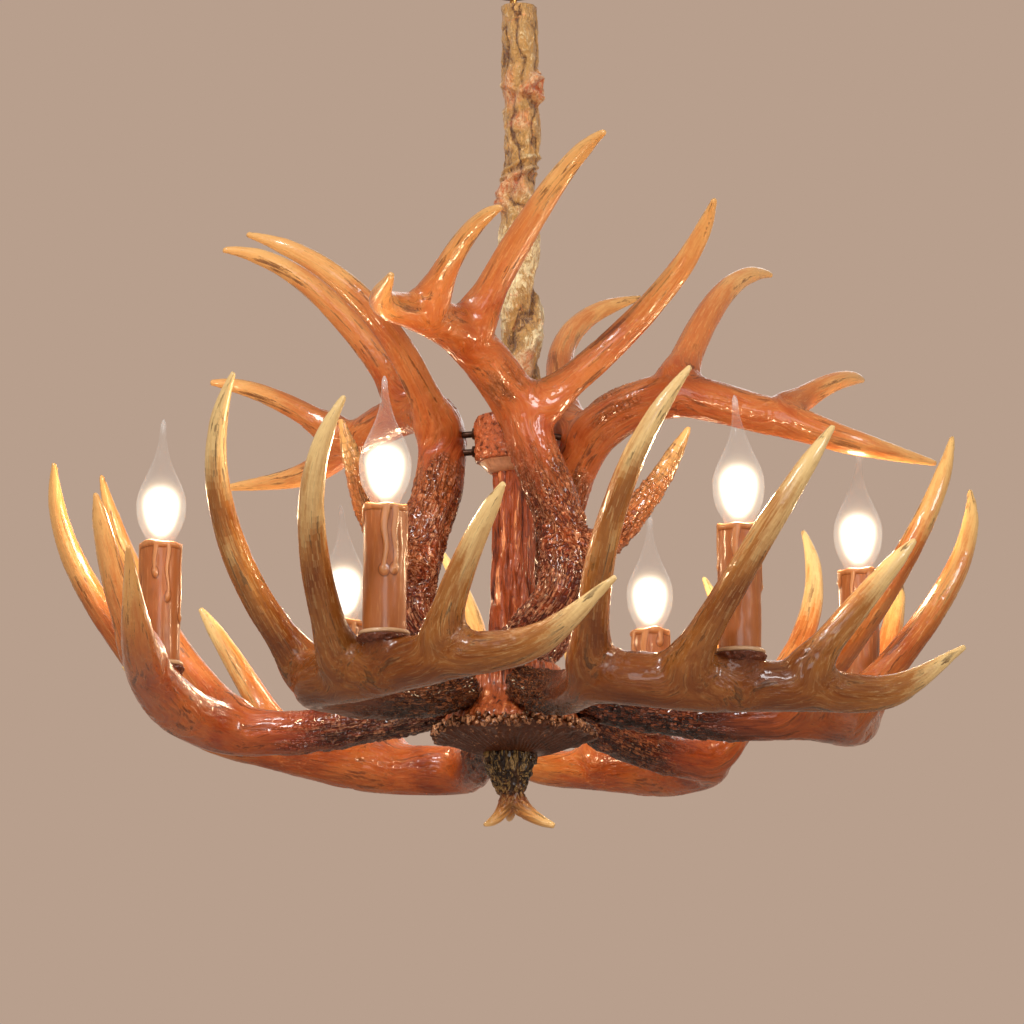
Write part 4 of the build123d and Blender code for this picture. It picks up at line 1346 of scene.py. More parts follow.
@dataclass
class ChainSleeve:
    """The gathered satin tube over the chain."""

    top: float = -0.0545
    bottom: float = -0.3495
    centre_x: float = 0.0048
    radius: float = 0.0132
    rows: int = 420
    sides: int = 150
    ruffles: tuple[Ruffle, ...] = (
        Ruffle(-0.1165, -38, 0.0095, 0.0100, 0.60),
        Ruffle(-0.1990, -158, 0.0085, 0.0085, 0.46),
    )
    swathes: tuple[Swathe, ...] = (
        Swathe(-0.1730, 0.0062, -10, 0.0022, 0.0017),
        Swathe(-0.1785, 0.0048, 20, 0.0026, 0.0019),
        Swathe(-0.1850, 0.0070, -25, 0.0022, 0.0020),
        Swathe(-0.1930, 0.0075, 170, 0.0014, 0.0022),
        Swathe(-0.1180, 0.0060, 150, 0.0014, 0.0020),
        Swathe(-0.1290, 0.0035, 10, 0.0012, 0.0018),
    )
    blushes: tuple[Ruffle, ...] = (
        Ruffle(-0.1190, -140, 0.0, 0.0120, 0.55),
        Ruffle(-0.1420, -100, 0.0, 0.0055, 0.60),
        Ruffle(-0.1900, -110, 0.0, 0.0080, 0.80),
        Ruffle(-0.3220, -80, 0.0, 0.0090, 0.60),
    )
    coarse: Pattern = Pattern(scale=85, octaves=2, seed=2.0, along=0.6)
    fine: Pattern = Pattern(scale=300, octaves=3, seed=6.0, along=0.7)
    pleats: Pattern = Pattern(scale=105, octaves=2, seed=11, along=0.6)
    coarse_height: float = 0.0010
    fine_height: float = 0.0001
    pleat_height: float = 0.0007
    twist_from: tuple[float, float] = (0.204, 0.232)
    twist_start: float = 0.5
    twist_rate: float = 56.0
    twist_wander: float = 0.6
    twist_out: float = 0.0060
    twist_in: float = 0.0036
    twist_nips: float = 0.0012
    drape_folds: float = 2.5
    drape_rate: float = 30.0
    drape_wander: float = 2.2
    drape_in: float = 0.0028
    # Profiles of the painted shade in the troughs between the folds.
    twisted_valley_shade: Bell = Bell(height=1.0, middle=0.0, half=0.20)
    hanging_valley_shade: Bell = Bell(height=1.0, middle=0.0, half=0.26)
    waist: Bell = Bell(height=0.0022, middle=-0.180, half=0.012)
    nip: Bell = Bell(height=0.0016, middle=-0.124, half=0.009)
    cup_hollow: Bell = Bell(height=0.95, middle=0.0, half=0.55)
    cup_shade: Bell = Bell(height=1.0, middle=0.0, half=0.6)
    lip_light: Bell = Bell(height=0.4, middle=0.95, half=0.2)
    sway_x: tuple[Wave, ...] = (Wave(0.0012, 34), Wave(0.0008, 83, 1))
    sway_y: Wave = Wave(0.0010, 51, 2)
    seam: tuple[float, float] = (2.42 * math.pi, 2.52 * math.pi)
    seam_lap: float = 0.0006

    def build(self, paint: Paint) -> None:
        """Args:
            paint: The finishes.
        """
        z = np.linspace(self.top, self.bottom, self.rows)
        turn = np.linspace(0.5 * np.pi, 2.56 * np.pi, self.sides)
        height, angle = np.meshgrid(z, turn, indexing="ij")
        out, crease = self._relief(height, angle)
        out = out + self.seam_lap * smooth_step(angle, *self.seam)
        sway = sum(wave.at(height) for wave in self.sway_x)
        x = self.centre_x + sway + (self.radius + out) * np.cos(angle)
        y = self.sway_y.at(height) + (self.radius + out) * np.sin(angle)
        points = np.stack([x, y, height], axis=-1).reshape(-1, 3)
        piece = mesh_piece("chain_sleeve_cloth", points, grid_faces(self.rows, self.sides, closed=False))
        # The folds' painted light and shade go to the cloth's material.
        store(piece, crease=crease.ravel(), blush=self._blush(height, angle).ravel())
        paint.dress(piece, "sleeve", "sleeve_fabric", "chain_sleeve")

    def _folds(self, height: np.ndarray, angle: np.ndarray) -> tuple[np.ndarray, np.ndarray, np.ndarray]:
        """The drape's long folds, twisted below, with masks of painted shade in the troughs between them, and
        the coarse crumple.
        """
        ring = [np.cos(angle) * self.radius, np.sin(angle) * self.radius, height]
        ring = np.stack(ring, axis=-1).reshape(-1, 3)
        coarse, fine = (pattern.at(ring).reshape(height.shape) for pattern in (self.coarse, self.fine))
        pleats = self.pleats.lines(ring, sharpness=4).reshape(height.shape)
        lower = smooth_step(-height, *self.twist_from)
        twist = angle - self.twist_start - height * self.twist_rate + coarse * self.twist_wander
        drape = angle * self.drape_folds + coarse * self.drape_wander + height * self.drape_rate
        nips = 1 - np.abs(np.sin(3 * twist + coarse * 2)) ** 0.45
        twisted = self.twist_out * np.abs(np.cos(twist)) ** 0.9 - self.twist_in - self.twist_nips * nips
        folds = lower * twisted
        folds -= (1 - lower) * self.drape_in * (1 - np.abs(np.sin(drape)) ** 0.5)
        folds += self.coarse_height * coarse + self.fine_height * fine + pleats * self.pleat_height
        shaded_valleys = lower * self.twisted_valley_shade.at(np.cos(twist))
        shaded_valleys += (1 - lower) * self.hanging_valley_shade.at(np.sin(drape))
        return folds, shaded_valleys, coarse

    def _relief(self, height: np.ndarray, angle: np.ndarray) -> tuple[np.ndarray, np.ndarray]:
        """How far the cloth stands out, and its painted light and shade: lighter where it stands out, darker
        in the troughs of its folds and in the ruffle cups, lighter on the cups' lips.
        """
        folds, shaded_valley, coarse = self._folds(height, angle)
        folds -= self.waist.at(height) + self.nip.at(height)
        for swathe in self.swathes:
            slant = swathe.slant * np.cos(angle - math.radians(swathe.high))
            middle = swathe.z + slant + 0.0012 * coarse
            folds += Bell(swathe.rise, middle, swathe.half).at(height)
        spread = (folds - folds.min()) / (folds.max() - folds.min())
        # Painted light and shade: raised folds lighter, sunk folds and troughs darker.
        crease = (spread - 0.28) * 1.5 + 0.12 - 0.75 * shaded_valley
        out = folds
        for ruffle in self.ruffles:
            reach = ruffle.reach(height, angle)
            out = out + ruffle.out * (np.exp(-(reach**4)) - self.cup_hollow.at(reach))
            # Painted shade inside each ruffle's cup and a painted highlight on its lip.
            crease = crease - self.cup_shade.at(reach) + self.lip_light.at(reach)
        out = out * (smooth_step(-height, -self.top, -self.top + 0.004) * 0.6 + 0.4)
        return out, np.clip(crease, 0, 1)

    def _blush(self, height: np.ndarray, angle: np.ndarray) -> np.ndarray:
        """Where the cloth shows its rosy side."""
        blush = np.zeros_like(height)
        for patch in self.ruffles + self.blushes:
            blush += np.exp(-((patch.reach(height, angle) / 1.15) ** 4)) * (1.0 if patch.out else 0.7)
        return np.clip(blush, 0, 1)


# ------------------------------------------------------------------ candles and bulbs
@dataclass(frozen=True)
class CandleSeat:
    """Where a candle stands: its axis and the heights of its foot and rim."""

    x: float
    y: float
    foot: float
    rim: float

    @classmethod
    def at(cls, place: str) -> CandleSeat:
        """The seat of the candle at a place, from its node's box."""
        low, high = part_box(f"candle_sleeve_{place}")
        return cls((low.x + high.x) / 2, (low.y + high.y) / 2, low.z, high.z)


@dataclass
class Candle:
    """One candle: dripped tube, bulb glass and glowing filament."""

    place: str
    seed: int
    radius: float = 0.015
    sides: int = 150
    rows: int = 170
    runs: int = 7
    run_lengths: tuple[float, ...] = (0.14, 0.22, 0.34, 0.5, 0.68)
    run_widths: tuple[float, float] = (0.13, 0.24)
    run_height: float = 0.8
    bead_height: float = 1.25
    bead_up: float = 0.03
    bead_half: float = 0.035
    crown: tuple[float, float] = (0.93, 0.975)
    wall_inset: float = 0.0006
    lump_height: float = 0.0004
    drip_height: float = 0.0011
    rim_drop: float = 0.0006
    rim_round: float = 0.0016
    mouth: tuple[tuple[float, float], ...] = (
        (0.0024, -0.0001), (0.0036, 0.0004), (0.0042, 0.0012), (0.0044, 0.004), (0.0045, 0.008),
    )
    bulb_length: float = 0.088
    bulb_sides: int = 72
    bulb_turn: float = 1.9
    wisp_bend: float = 0.0046
    wisp_return: float = 0.0016
    bulb_profile: Profile = (
        (0.0, 9.0), (0.04, 10.4), (0.1, 13.4), (0.18, 16.2), (0.26, 17.3), (0.34, 17.3), (0.42, 15.6),
        (0.5, 12.7), (0.58, 9.4), (0.66, 6.5), (0.74, 4.3), (0.82, 2.9), (0.9, 2.1), (0.97, 1.7), (1.0, 0.5),
    )
    heart_lift: float = 0.003
    heart_length: float = 0.046
    heart_sides: int = 40
    heart_profile: Profile = (
        (0.0, 5.4), (0.1, 9.0), (0.28, 12.8), (0.48, 14.8), (0.66, 14.4), (0.84, 10.8), (0.95, 5.6),
        (1.0, 1.2),
    )
    lumps: Pattern = field(init=False)
    seat: CandleSeat = field(init=False)

    def build(self, paint: Paint) -> list[bpy.types.Object]:
        """Makes the candle's pieces on their nodes' places.

        Args:
            paint: The finishes.

        Returns:
            The bulb's glass and heart.
        """
        self.seat = CandleSeat.at(self.place)
        self.lumps = Pattern(scale=60, octaves=2, seed=self.seed)
        self._tube(paint)
        return self._bulb(paint)

    def _tube(self, paint: Paint) -> None:
        """The dripped tube, its rim and the wall inside its mouth."""
        turn = np.linspace(0, 2 * np.pi, self.sides, endpoint=False)
        tall, angle = np.meshgrid(np.linspace(0, 1, self.rows), turn, indexing="ij")
        drip = self._drips(tall, angle)
        seat = self.seat
        near_rim = smooth_step(tall, 0.9, 1.0)
        wave = Wave(0.0007, 2, self.seed).at(angle) + Wave(0.0005, 5, self.seed * 2).at(angle)
        z = seat.foot + tall * (seat.rim - seat.foot) + wave * near_rim - self.rim_drop * near_rim
        ring = np.stack([np.cos(angle) * self.radius, np.sin(angle) * self.radius, z], axis=-1)
        lumps = self.lumps.at(ring.reshape(-1, 3)).reshape(tall.shape)
        fall = 1 - np.sqrt(np.clip(1 - ((tall - 0.98) / 0.02).clip(0, 1) ** 2, 0, 1))
        radius = self.radius - self.wall_inset + self.lump_height * lumps + self.drip_height * drip
        radius -= self.rim_round * fall
        outer = np.stack([seat.x + radius * np.cos(angle), seat.y + radius * np.sin(angle), z], axis=-1)
        inner = []
        for inset, down in self.mouth:
            spin = np.stack([np.cos(turn), np.sin(turn)], axis=1) * (self.radius - inset)
            inner.append(np.c_[spin + np.array([seat.x, seat.y]), z[-1] - down])
        points = np.vstack([outer.reshape(-1, 3), *inner])
        piece = mesh_piece(f"candle_{self.place}", points, grid_faces(self.rows + len(inner), self.sides))
        store(piece, drip=np.r_[drip.ravel(), np.zeros(self.sides * len(inner))])
        paint.dress(piece, "candle", "candle_plastic", f"candle_sleeve_{self.place}")

    def _drips(self, tall: np.ndarray, angle: np.ndarray) -> np.ndarray:
        """Wax runs from the rim, each with a bead at its end."""
        draw = np.random.default_rng(SEED + self.seed)
        drip = np.zeros_like(tall)
        for run in range(self.runs):
            middle = 2 * np.pi * (run + draw.uniform(-0.3, 0.3)) / self.runs
            reach = draw.choice(self.run_lengths) * draw.uniform(0.85, 1.15)
            width = draw.uniform(*self.run_widths)
            swing = (angle - middle + np.pi) % (2 * np.pi) - np.pi
            swing = swing + 0.05 * np.sin(tall * 19 + run)
            end = 1 - reach
            slim = 1 - 0.45 * smooth_step(1 - tall, 0.04, reach)
            across = 1 - smooth_step(np.abs(swing), width * 0.45 * slim, width * slim)
            body = across * smooth_step(tall, end, end + self.bead_up)
            high = (tall - end - self.bead_up) / self.bead_half
            bead = np.exp(-((swing / (width * 0.75)) ** 2) - (high**2))
            drip = np.maximum(drip, np.maximum(body * self.run_height, bead * self.bead_height))
        crown = smooth_step(tall, *self.crown) * (self.run_height + Wave(0.25, 7, self.seed).at(angle))
        return np.maximum(drip, crown)

    def _bulb(self, paint: Paint) -> list[bpy.types.Object]:
        """The flame-tip glass with its bent wisp, and the filament's glow in it."""
        profile = self._rounded(self.bulb_profile, 90)
        share = profile[:, 0]
        sides, seat = self.bulb_sides, self.seat
        skin = np.c_[profile[:, 1] * MM, seat.rim + share * self.bulb_length]
        points, faces = lathe(skin, sides, (seat.x, seat.y))
        lift = np.repeat(share, sides)
        bearing = self.seed * self.bulb_turn
        bend = self.wisp_bend * np.clip(lift - 0.6, 0, 1) ** 2 / 0.16
        bend -= self.wisp_return * np.clip(lift - 0.85, 0, 1) / 0.15
        points[:, 0] += bend * math.cos(bearing)
        points[:, 1] += bend * math.sin(bearing)
        points = np.vstack([points, points[-sides:].mean(axis=0) + np.array([0, 0, 0.0003])])
        last = len(points) - 1
        faces += [(last - sides + k, last - sides + (k + 1) % sides, last) for k in range(sides)]
        glass = mesh_piece(f"bulb_{self.place}", points, faces)
        store(glass, rise=np.r_[lift, 1.0])
        paint.dress(glass, "glass", "bulb_glass", f"bulb_glass_{self.place}", body=f"bulb_{self.place}")
        profile = self._rounded(self.heart_profile, 40)
        share = profile[:, 0]
        skin = np.c_[profile[:, 1] * MM, seat.rim + self.heart_lift + share * self.heart_length]
        points, faces = lathe(skin, self.heart_sides, (seat.x, seat.y))
        foot = tuple(range(self.heart_sides))[::-1]
        heart = mesh_piece(f"filament_{self.place}", points, faces + [foot])
        store(heart, rise=np.repeat(share, self.heart_sides))
        paint.dress(heart, "glow", "filament", f"bulb_filament_{self.place}", body=f"bulb_{self.place}")
        return [glass, heart]

    @staticmethod
    def _rounded(profile: Profile, count: int) -> np.ndarray:
        """A profile's heights and radii, smoothed to many steps."""
        length, least = 60, 0.2
        rows = np.array(profile)
        line, _ = curve_through(np.c_[rows[:, 0] * length, rows[:, 1], np.zeros(len(rows))], count)
        return np.c_[line[:, 0] / length, np.maximum(line[:, 1], least)]


@dataclass
class CandleCups:
    """The pale ring and lumpy collar under each candle, one piece for all six."""

    ring_profile: Profile = (
        (12.0, 0.2), (15.0, 0.0), (16.6, 0.3), (17.1, 1.2), (16.9, 2.4), (16.2, 3.1), (15.3, 3.2),
        (15.1, 2.4),
    )
    collar_profile: Profile = (
        (12.5, -6.6), (14.6, -5.6), (16.2, -4.2), (17.0, -2.6), (17.3, -1.2), (16.8, -0.2), (15.6, 0.2),
        (12.0, 0.3),
    )
    seat_drop: float = 0.0015
    small_lumps: Pattern = Pattern(scale=330, octaves=3, seed=4.0)
    large_lumps: Pattern = Pattern(scale=190, octaves=2, seed=7.0)

    def build(self, paint: Paint) -> None:
        """Makes the rings and the burr collars.

        Args:
            paint: The finishes.
        """
        seats = [CandleSeat.at(place) for place in PLACES]
        ring = mesh_piece("candle_rings", *joined([self._ring(seat) for seat in seats]))
        paint.dress(ring, "ring", "candle_plastic", "candle_cups")
        collar = mesh_piece("candle_collars", *joined([self._collar(seat) for seat in seats]))
        paint.dress(collar, "seat", "bark_resin")

    def _ring(self, seat: CandleSeat) -> tuple[np.ndarray, list]:
        """One smooth ring."""
        profile = np.array(self.ring_profile) * MM + np.array([0, seat.foot - self.seat_drop])
        return lathe(profile, 96, (seat.x, seat.y))

    def _collar(self, seat: CandleSeat) -> tuple[np.ndarray, list]:
        """One lumpy burr collar."""
        rows = np.array(self.collar_profile)
        line, _ = curve_through(np.c_[rows, np.zeros(len(rows))], 40)
        profile = line[:, :2] * MM + np.array([0, seat.foot - self.seat_drop])
        points, faces = lathe(profile, 140, (seat.x, seat.y))
        lumps = self.small_lumps.at(points) * 0.0011 + np.abs(self.large_lumps.at(points)) * 0.0016
        out = points - np.array([seat.x, seat.y, 0])
        out[:, 2] = 0
        length = np.linalg.norm(out, axis=1)[:, None]
        return points + out / length * lumps[:, None], faces


# ------------------------------------------------------------------ centre stack
@dataclass(frozen=True)
class Turning:
    """A turned skin with each point's angle and its share along the profile."""

    points: np.ndarray
    faces: list
    angle: np.ndarray
    share: np.ndarray

    @classmethod
    def spun(cls, profile: np.ndarray, rows: int, sides: int) -> Turning:
        """Turns a profile, in millimetres above the datum, with fine divisions.

        Args:
            profile: Radius and height pairs, n by 2.
            rows: How many steps along the profile.
            sides: How many steps round the axis.

        Returns:
            The turning.
        """
        line, _ = curve_through(np.c_[profile, np.zeros(len(profile))], rows)
        points, faces = lathe(line[:, :2] * MM + np.array([0, DATUM]), sides)
        angle = np.tile(np.linspace(0, 2 * np.pi, sides, endpoint=False), rows)
        return cls(points, faces, angle, np.repeat(np.linspace(0, 1, rows), sides))

    def pushed(self, out: np.ndarray) -> np.ndarray:
        """The points moved away from the axis by an amount in millimetres."""
        length = np.maximum(np.linalg.norm(self.points[:, :2], axis=1), 1e-6)[:, None]
        points = self.points.copy()
        points[:, :2] *= 1 + out[:, None] * MM / length
        return points


@dataclass
class CentreStack:
    """Column, hubs and rosette down the fixture's middle; millimetres above the datum."""

    column_profile: Profile = ((16.4, 48.0), (15.4, 119.5), (14.6, 191.0))
    top_hub: tuple[float, float, float] = (197.0, 230.0, 27.0)
    disc: tuple[float, float, float, float] = (189.0, 197.2, 15.5, 23.5)
    hub_profile: Profile = (
        (30.0, 10.0), (49.0, 10.0), (48.4, 12.0), (43.5, 18.0), (38.0, 25.0), (34.6, 32.0), (33.2, 40.0),
        (33.0, 47.0), (32.0, 49.6), (24.0, 50.2), (14.0, 50.4),
    )
    rosette_profile: Profile = (
        (10.0, -12.0), (18.0, -12.0), (26.0, -10.6), (36.0, -7.4), (46.0, -3.4), (52.6, -0.2), (55.4, 1.4),
        (55.8, 2.8), (54.2, 4.6), (50.0, 6.8), (46.0, 8.2), (42.0, 9.4),
    )
    pearl_rows: Profile = ((56.2, 2.6), (54.8, 5.6), (50.6, 8.0))
    pearl_sizes: tuple[float, float] = (1.5, 3.1)
    pearls: int = 138
    lobes: tuple[Wave, ...] = (Wave(1.0, 7, 1.2), Wave(0.8, 16, 0.4))
    lobe_out: float = 1.1
    lobe_down: float = 0.75
    column_ridges: Pattern = Pattern(scale=150, octaves=3, seed=2.2, along=0.13)
    column_wander: Pattern = Pattern(scale=14, octaves=2, seed=3)
    column_grain: Pattern = Pattern(scale=420, octaves=2, seed=8, along=0.25)
    column_twigs: int = 13
    column_sink: float = 1.2
    top_worms: Pattern = Pattern(scale=210, octaves=3, seed=5)
    top_lumps: Pattern = Pattern(scale=90, octaves=2, seed=1)
    disc_lumps: Pattern = Pattern(scale=120, octaves=2, seed=3)
    hub_wander: Pattern = Pattern(scale=30, octaves=2, seed=6, along=0.5)
    hub_grain: Pattern = Pattern(scale=300, octaves=3, seed=2, along=0.3)
    hub_ribs: int = 23
    hub_rib_height: float = 1.5
    dish_wander: Pattern = Pattern(scale=40, octaves=2, seed=2)
    dish_lumps: Pattern = Pattern(scale=75, octaves=3, seed=9)
    dish_rays: int = 31
    dish_ray_height: float = 1.1

    def build(self, paint: Paint) -> None:
        """Makes every piece of the stack.

        Args:
            paint: The finishes.
        """
        self._column(paint)
        self._top_hub(paint)
        self._disc(paint)
        self._bottom_hub(paint)
        self._rosette(paint)

    def _column(self, paint: Paint) -> None:
        """The bark-ridged column."""
        column = Turning.spun(np.array(self.column_profile), 260, 200)
        ridges = np.abs(self.column_ridges.at(column.points)) * 3.2
        twigs = np.sin(column.angle * self.column_twigs + self.column_wander.at(column.points) * 5) * 0.5
        out = ridges + twigs + self.column_grain.at(column.points) * 0.45 - self.column_sink
        piece = mesh_piece("column_bark", column.pushed(out), column.faces)
        paint.dress(piece, "column", "bark_resin", "centre_column")

    def _top_hub(self, paint: Paint) -> None:
        """The rough cylinder that the upper antlers are screwed to."""
        low, high, radius = self.top_hub
        hub = Turning.spun(np.array([
            (12.0, low), (radius - 3, low), (radius - 0.8, low + 0.5), (radius, low + 2.5),
            (radius + 0.3, (low + high) / 2), (radius, high - 2.5), (radius - 0.9, high - 0.5),
            (radius - 3, high), (12.0, high), (4.0, high + 0.1),
        ]), 120, 220)
        worms = self.top_worms.lines(hub.points, sharpness=3) * 1.1
        lumps = self.top_lumps.at(hub.points) * 0.8
        piece = mesh_piece("top_hub_bark", hub.pushed(worms + lumps - 0.6), hub.faces)
        paint.dress(piece, "top_hub", "bark_resin", "top_hub")

    def _disc(self, paint: Paint) -> None:
        """The pale bevel under the top hub."""
        low, high, small, large = self.disc
        disc = Turning.spun(np.array([
            (10.0, low), (small, low), (small + 1, low + 0.4),
            (large - 0.6, high - 1.2), (large, high - 0.3), (12.0, high),
        ]), 50, 160)
        lumps = self.disc_lumps.at(disc.points) * 0.35
        piece = mesh_piece("top_hub_bevel", disc.pushed(lumps), disc.faces)
        paint.dress(piece, "disc", "bark_resin", "top_hub_disc")

    def _bottom_hub(self, paint: Paint) -> None:
        """The ribbed flare that the lower antlers plug into."""
        hub = Turning.spun(np.array(self.hub_profile), 150, 330)
        wander = self.hub_wander.at(hub.points)
        ribs = np.abs(np.sin(hub.angle * self.hub_ribs + wander * 2.4)) ** 0.7 * self.hub_rib_height
        side = smooth_step(hub.share, 0.22, 0.3) * (1 - smooth_step(hub.share, 0.84, 0.92))
        grain = self.hub_grain.at(hub.points) * 0.7
        piece = mesh_piece("bottom_hub_ribs", hub.pushed((ribs - 1.0 + grain) * side), hub.faces)
        paint.dress(piece, "hub", "bark_resin", "bottom_hub")

    def _rosette(self, paint: Paint) -> None:
        """The dark dish with radial grooves and its pearled, ragged rim."""
        dish = Turning.spun(np.array(self.rosette_profile), 150, 420)
        reach = np.linalg.norm(dish.points[:, :2], axis=1) / MM
        edge = smooth_step(reach, 40, 55)
        under = (1 - smooth_step(dish.share, 0.62, 0.7)) * smooth_step(reach, 18, 30)
        wander = self.dish_wander.at(dish.points)
        rays = np.abs(np.sin(dish.angle * self.dish_rays + wander * 3)) ** 0.8
        lobes = self._lobes(dish.angle) + self.dish_lumps.at(dish.points) * 3.2
        points = dish.pushed(lobes * edge * self.lobe_out)
        points[:, 2] += ((rays - 0.6) * self.dish_ray_height * under - lobes * self.lobe_down * edge) * MM
        pearls = [self._pearl(number) for number in range(self.pearls)]
        skin, rows = joined([(points, dish.faces), *pearls])
        piece = mesh_piece("rosette_rim_and_dish", skin, rows)
        store(piece, pearl=np.arange(len(skin)) >= len(points))
        paint.dress(piece, "rosette", "bronze_paint", "rosette_dish")

    def _lobes(self, angle: np.ndarray | float) -> np.ndarray | float:
        """How the rim wanders in and out round the axis."""
        return sum(wave.at(angle) for wave in self.lobes)

    def _pearl(self, number: int) -> tuple[np.ndarray, list]:
        """One uneven pearl of the rim."""
        draw = np.random.default_rng(SEED + 50 + number)
        angle = 2 * np.pi * (number + draw.uniform(-0.5, 0.5)) / self.pearls
        reach, height = self.pearl_rows[number % len(self.pearl_rows)]
        lobe = self._lobes(angle)
        reach += lobe * self.lobe_out + draw.uniform(-1.2, 0.8)
        height += -lobe * self.lobe_down + draw.uniform(-1.0, 1.0)
        size = draw.uniform(*self.pearl_sizes)
        rows, sides, pole = 10, 14, 0.02
        tall = np.linspace(pole, np.pi - pole, rows)
        turn = np.linspace(0, 2 * np.pi, sides, endpoint=False)
        up, spin = np.meshgrid(tall, turn, indexing="ij")
        ball = np.stack([np.sin(up) * np.cos(spin), np.sin(up) * np.sin(spin), -np.cos(up)], axis=-1)
        ball = ball.reshape(-1, 3)
        bumps = noise_at(ball + number * 3.1, 1.4, 2, 0)
        ball = ball * (1 + 0.45 * bumps[:, None]) * size
        centre = np.array([reach * math.cos(angle), reach * math.sin(angle), height])
        return (ball + centre) * MM + np.array([0, 0, DATUM]), grid_faces(rows, sides)


@dataclass
class Finial:
    """The burr under the rosette and its three prongs."""

    mould: Mould

    def build(self, paint: Paint) -> None:
        """Casts the burr and dresses it.

        Args:
            paint: The finishes.
        """
        mould = self.mould
        mould.cast()
        piece = mesh_piece("finial_burr", mould.points + np.array([0, 0, DATUM]), mould.faces)
        store(piece, tone=mould.tone, bark=mould.bark, grain=mould.grain)
        paint.dress(piece, "finial", "bark_resin", "finial")


FINIAL_MOULD = Mould(
    name="finial",
    beam=((-2.5, 0, -11.6), (-2.5, 0, -18), (-2.4, 0, -27), (-2, 0, -36), (-1.6, 0, -44), (-1.6, 0, -48)),
    radii=(18.0, 17.4, 14.4, 9.8, 6.0, 4.2),
    tines=(
        TineSize((-3.4, -1.5, -39), (-5.5, -3.5, -58), (-21, -6, -63), 4.6, 1.1),
        TineSize((0.5, -0.5, -39), (5, -2.0, -55), (29, -6, -63.5), 5.0, 1.9),
        TineSize((-1.5, 2, -39), (-1.5, 6, -51), (-3, 20, -56), 4.2, 1.2),
    ),
    beam_tones=((0.0, 0.02), (0.6, 0.08), (0.8, 0.3), (1.0, 0.5)),
    tine_tones=((0.3, 1.0), (0.3, 1.0), (0.3, 1.0)),
    bark_end=0.046,
    bark_roots={1: 0.03, 2: 0.03, 3: 0.03},
    voxel=0.7,
    webbing=6,
    web_reach=5.0,
    relief=0.9,
)


@dataclass(frozen=True)
class Hardware:
    """The nodes whose own shape stays, with their finishes."""

    finishes: dict[str, tuple[str, ...]]

    def build(self, nodes: dict[str, bpy.types.Object], paint: Paint) -> None:
        """Gives each kept node its finish.

        Args:
            nodes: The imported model's nodes.
            paint: The finishes.
        """
        for finish, names in self.finishes.items():
            for name in names:
                nodes[name].data.materials.clear()
                nodes[name].data.materials.append(paint[finish])
                LOG.info("%s dressed", name)


HARDWARE = Hardware({
    "bronze": ("canopy", "canopy_collar", "hanging_loop"),
    "brass": (
        "rod_nut", "chain_links", "ceiling_swivel", "canopy_stem", *(f"bulb_cap_{place}" for place in PLACES)
    ),
    "steel": ("mounting_bracket", "tie_rod"),
    "screw": ("hub_screws", "arm_screws"),
    "white": ("terminal_block",),
    "holder": ("lampholders",),
    "cord": ("supply_flex", "supply_tail"),
})


# ------------------------------------------------------------------ studio
@dataclass(frozen=True)
class Panel:
    """A soft square lamp that is turned to the fixture."""

    name: str
    place: Point
    size: float
    power: float


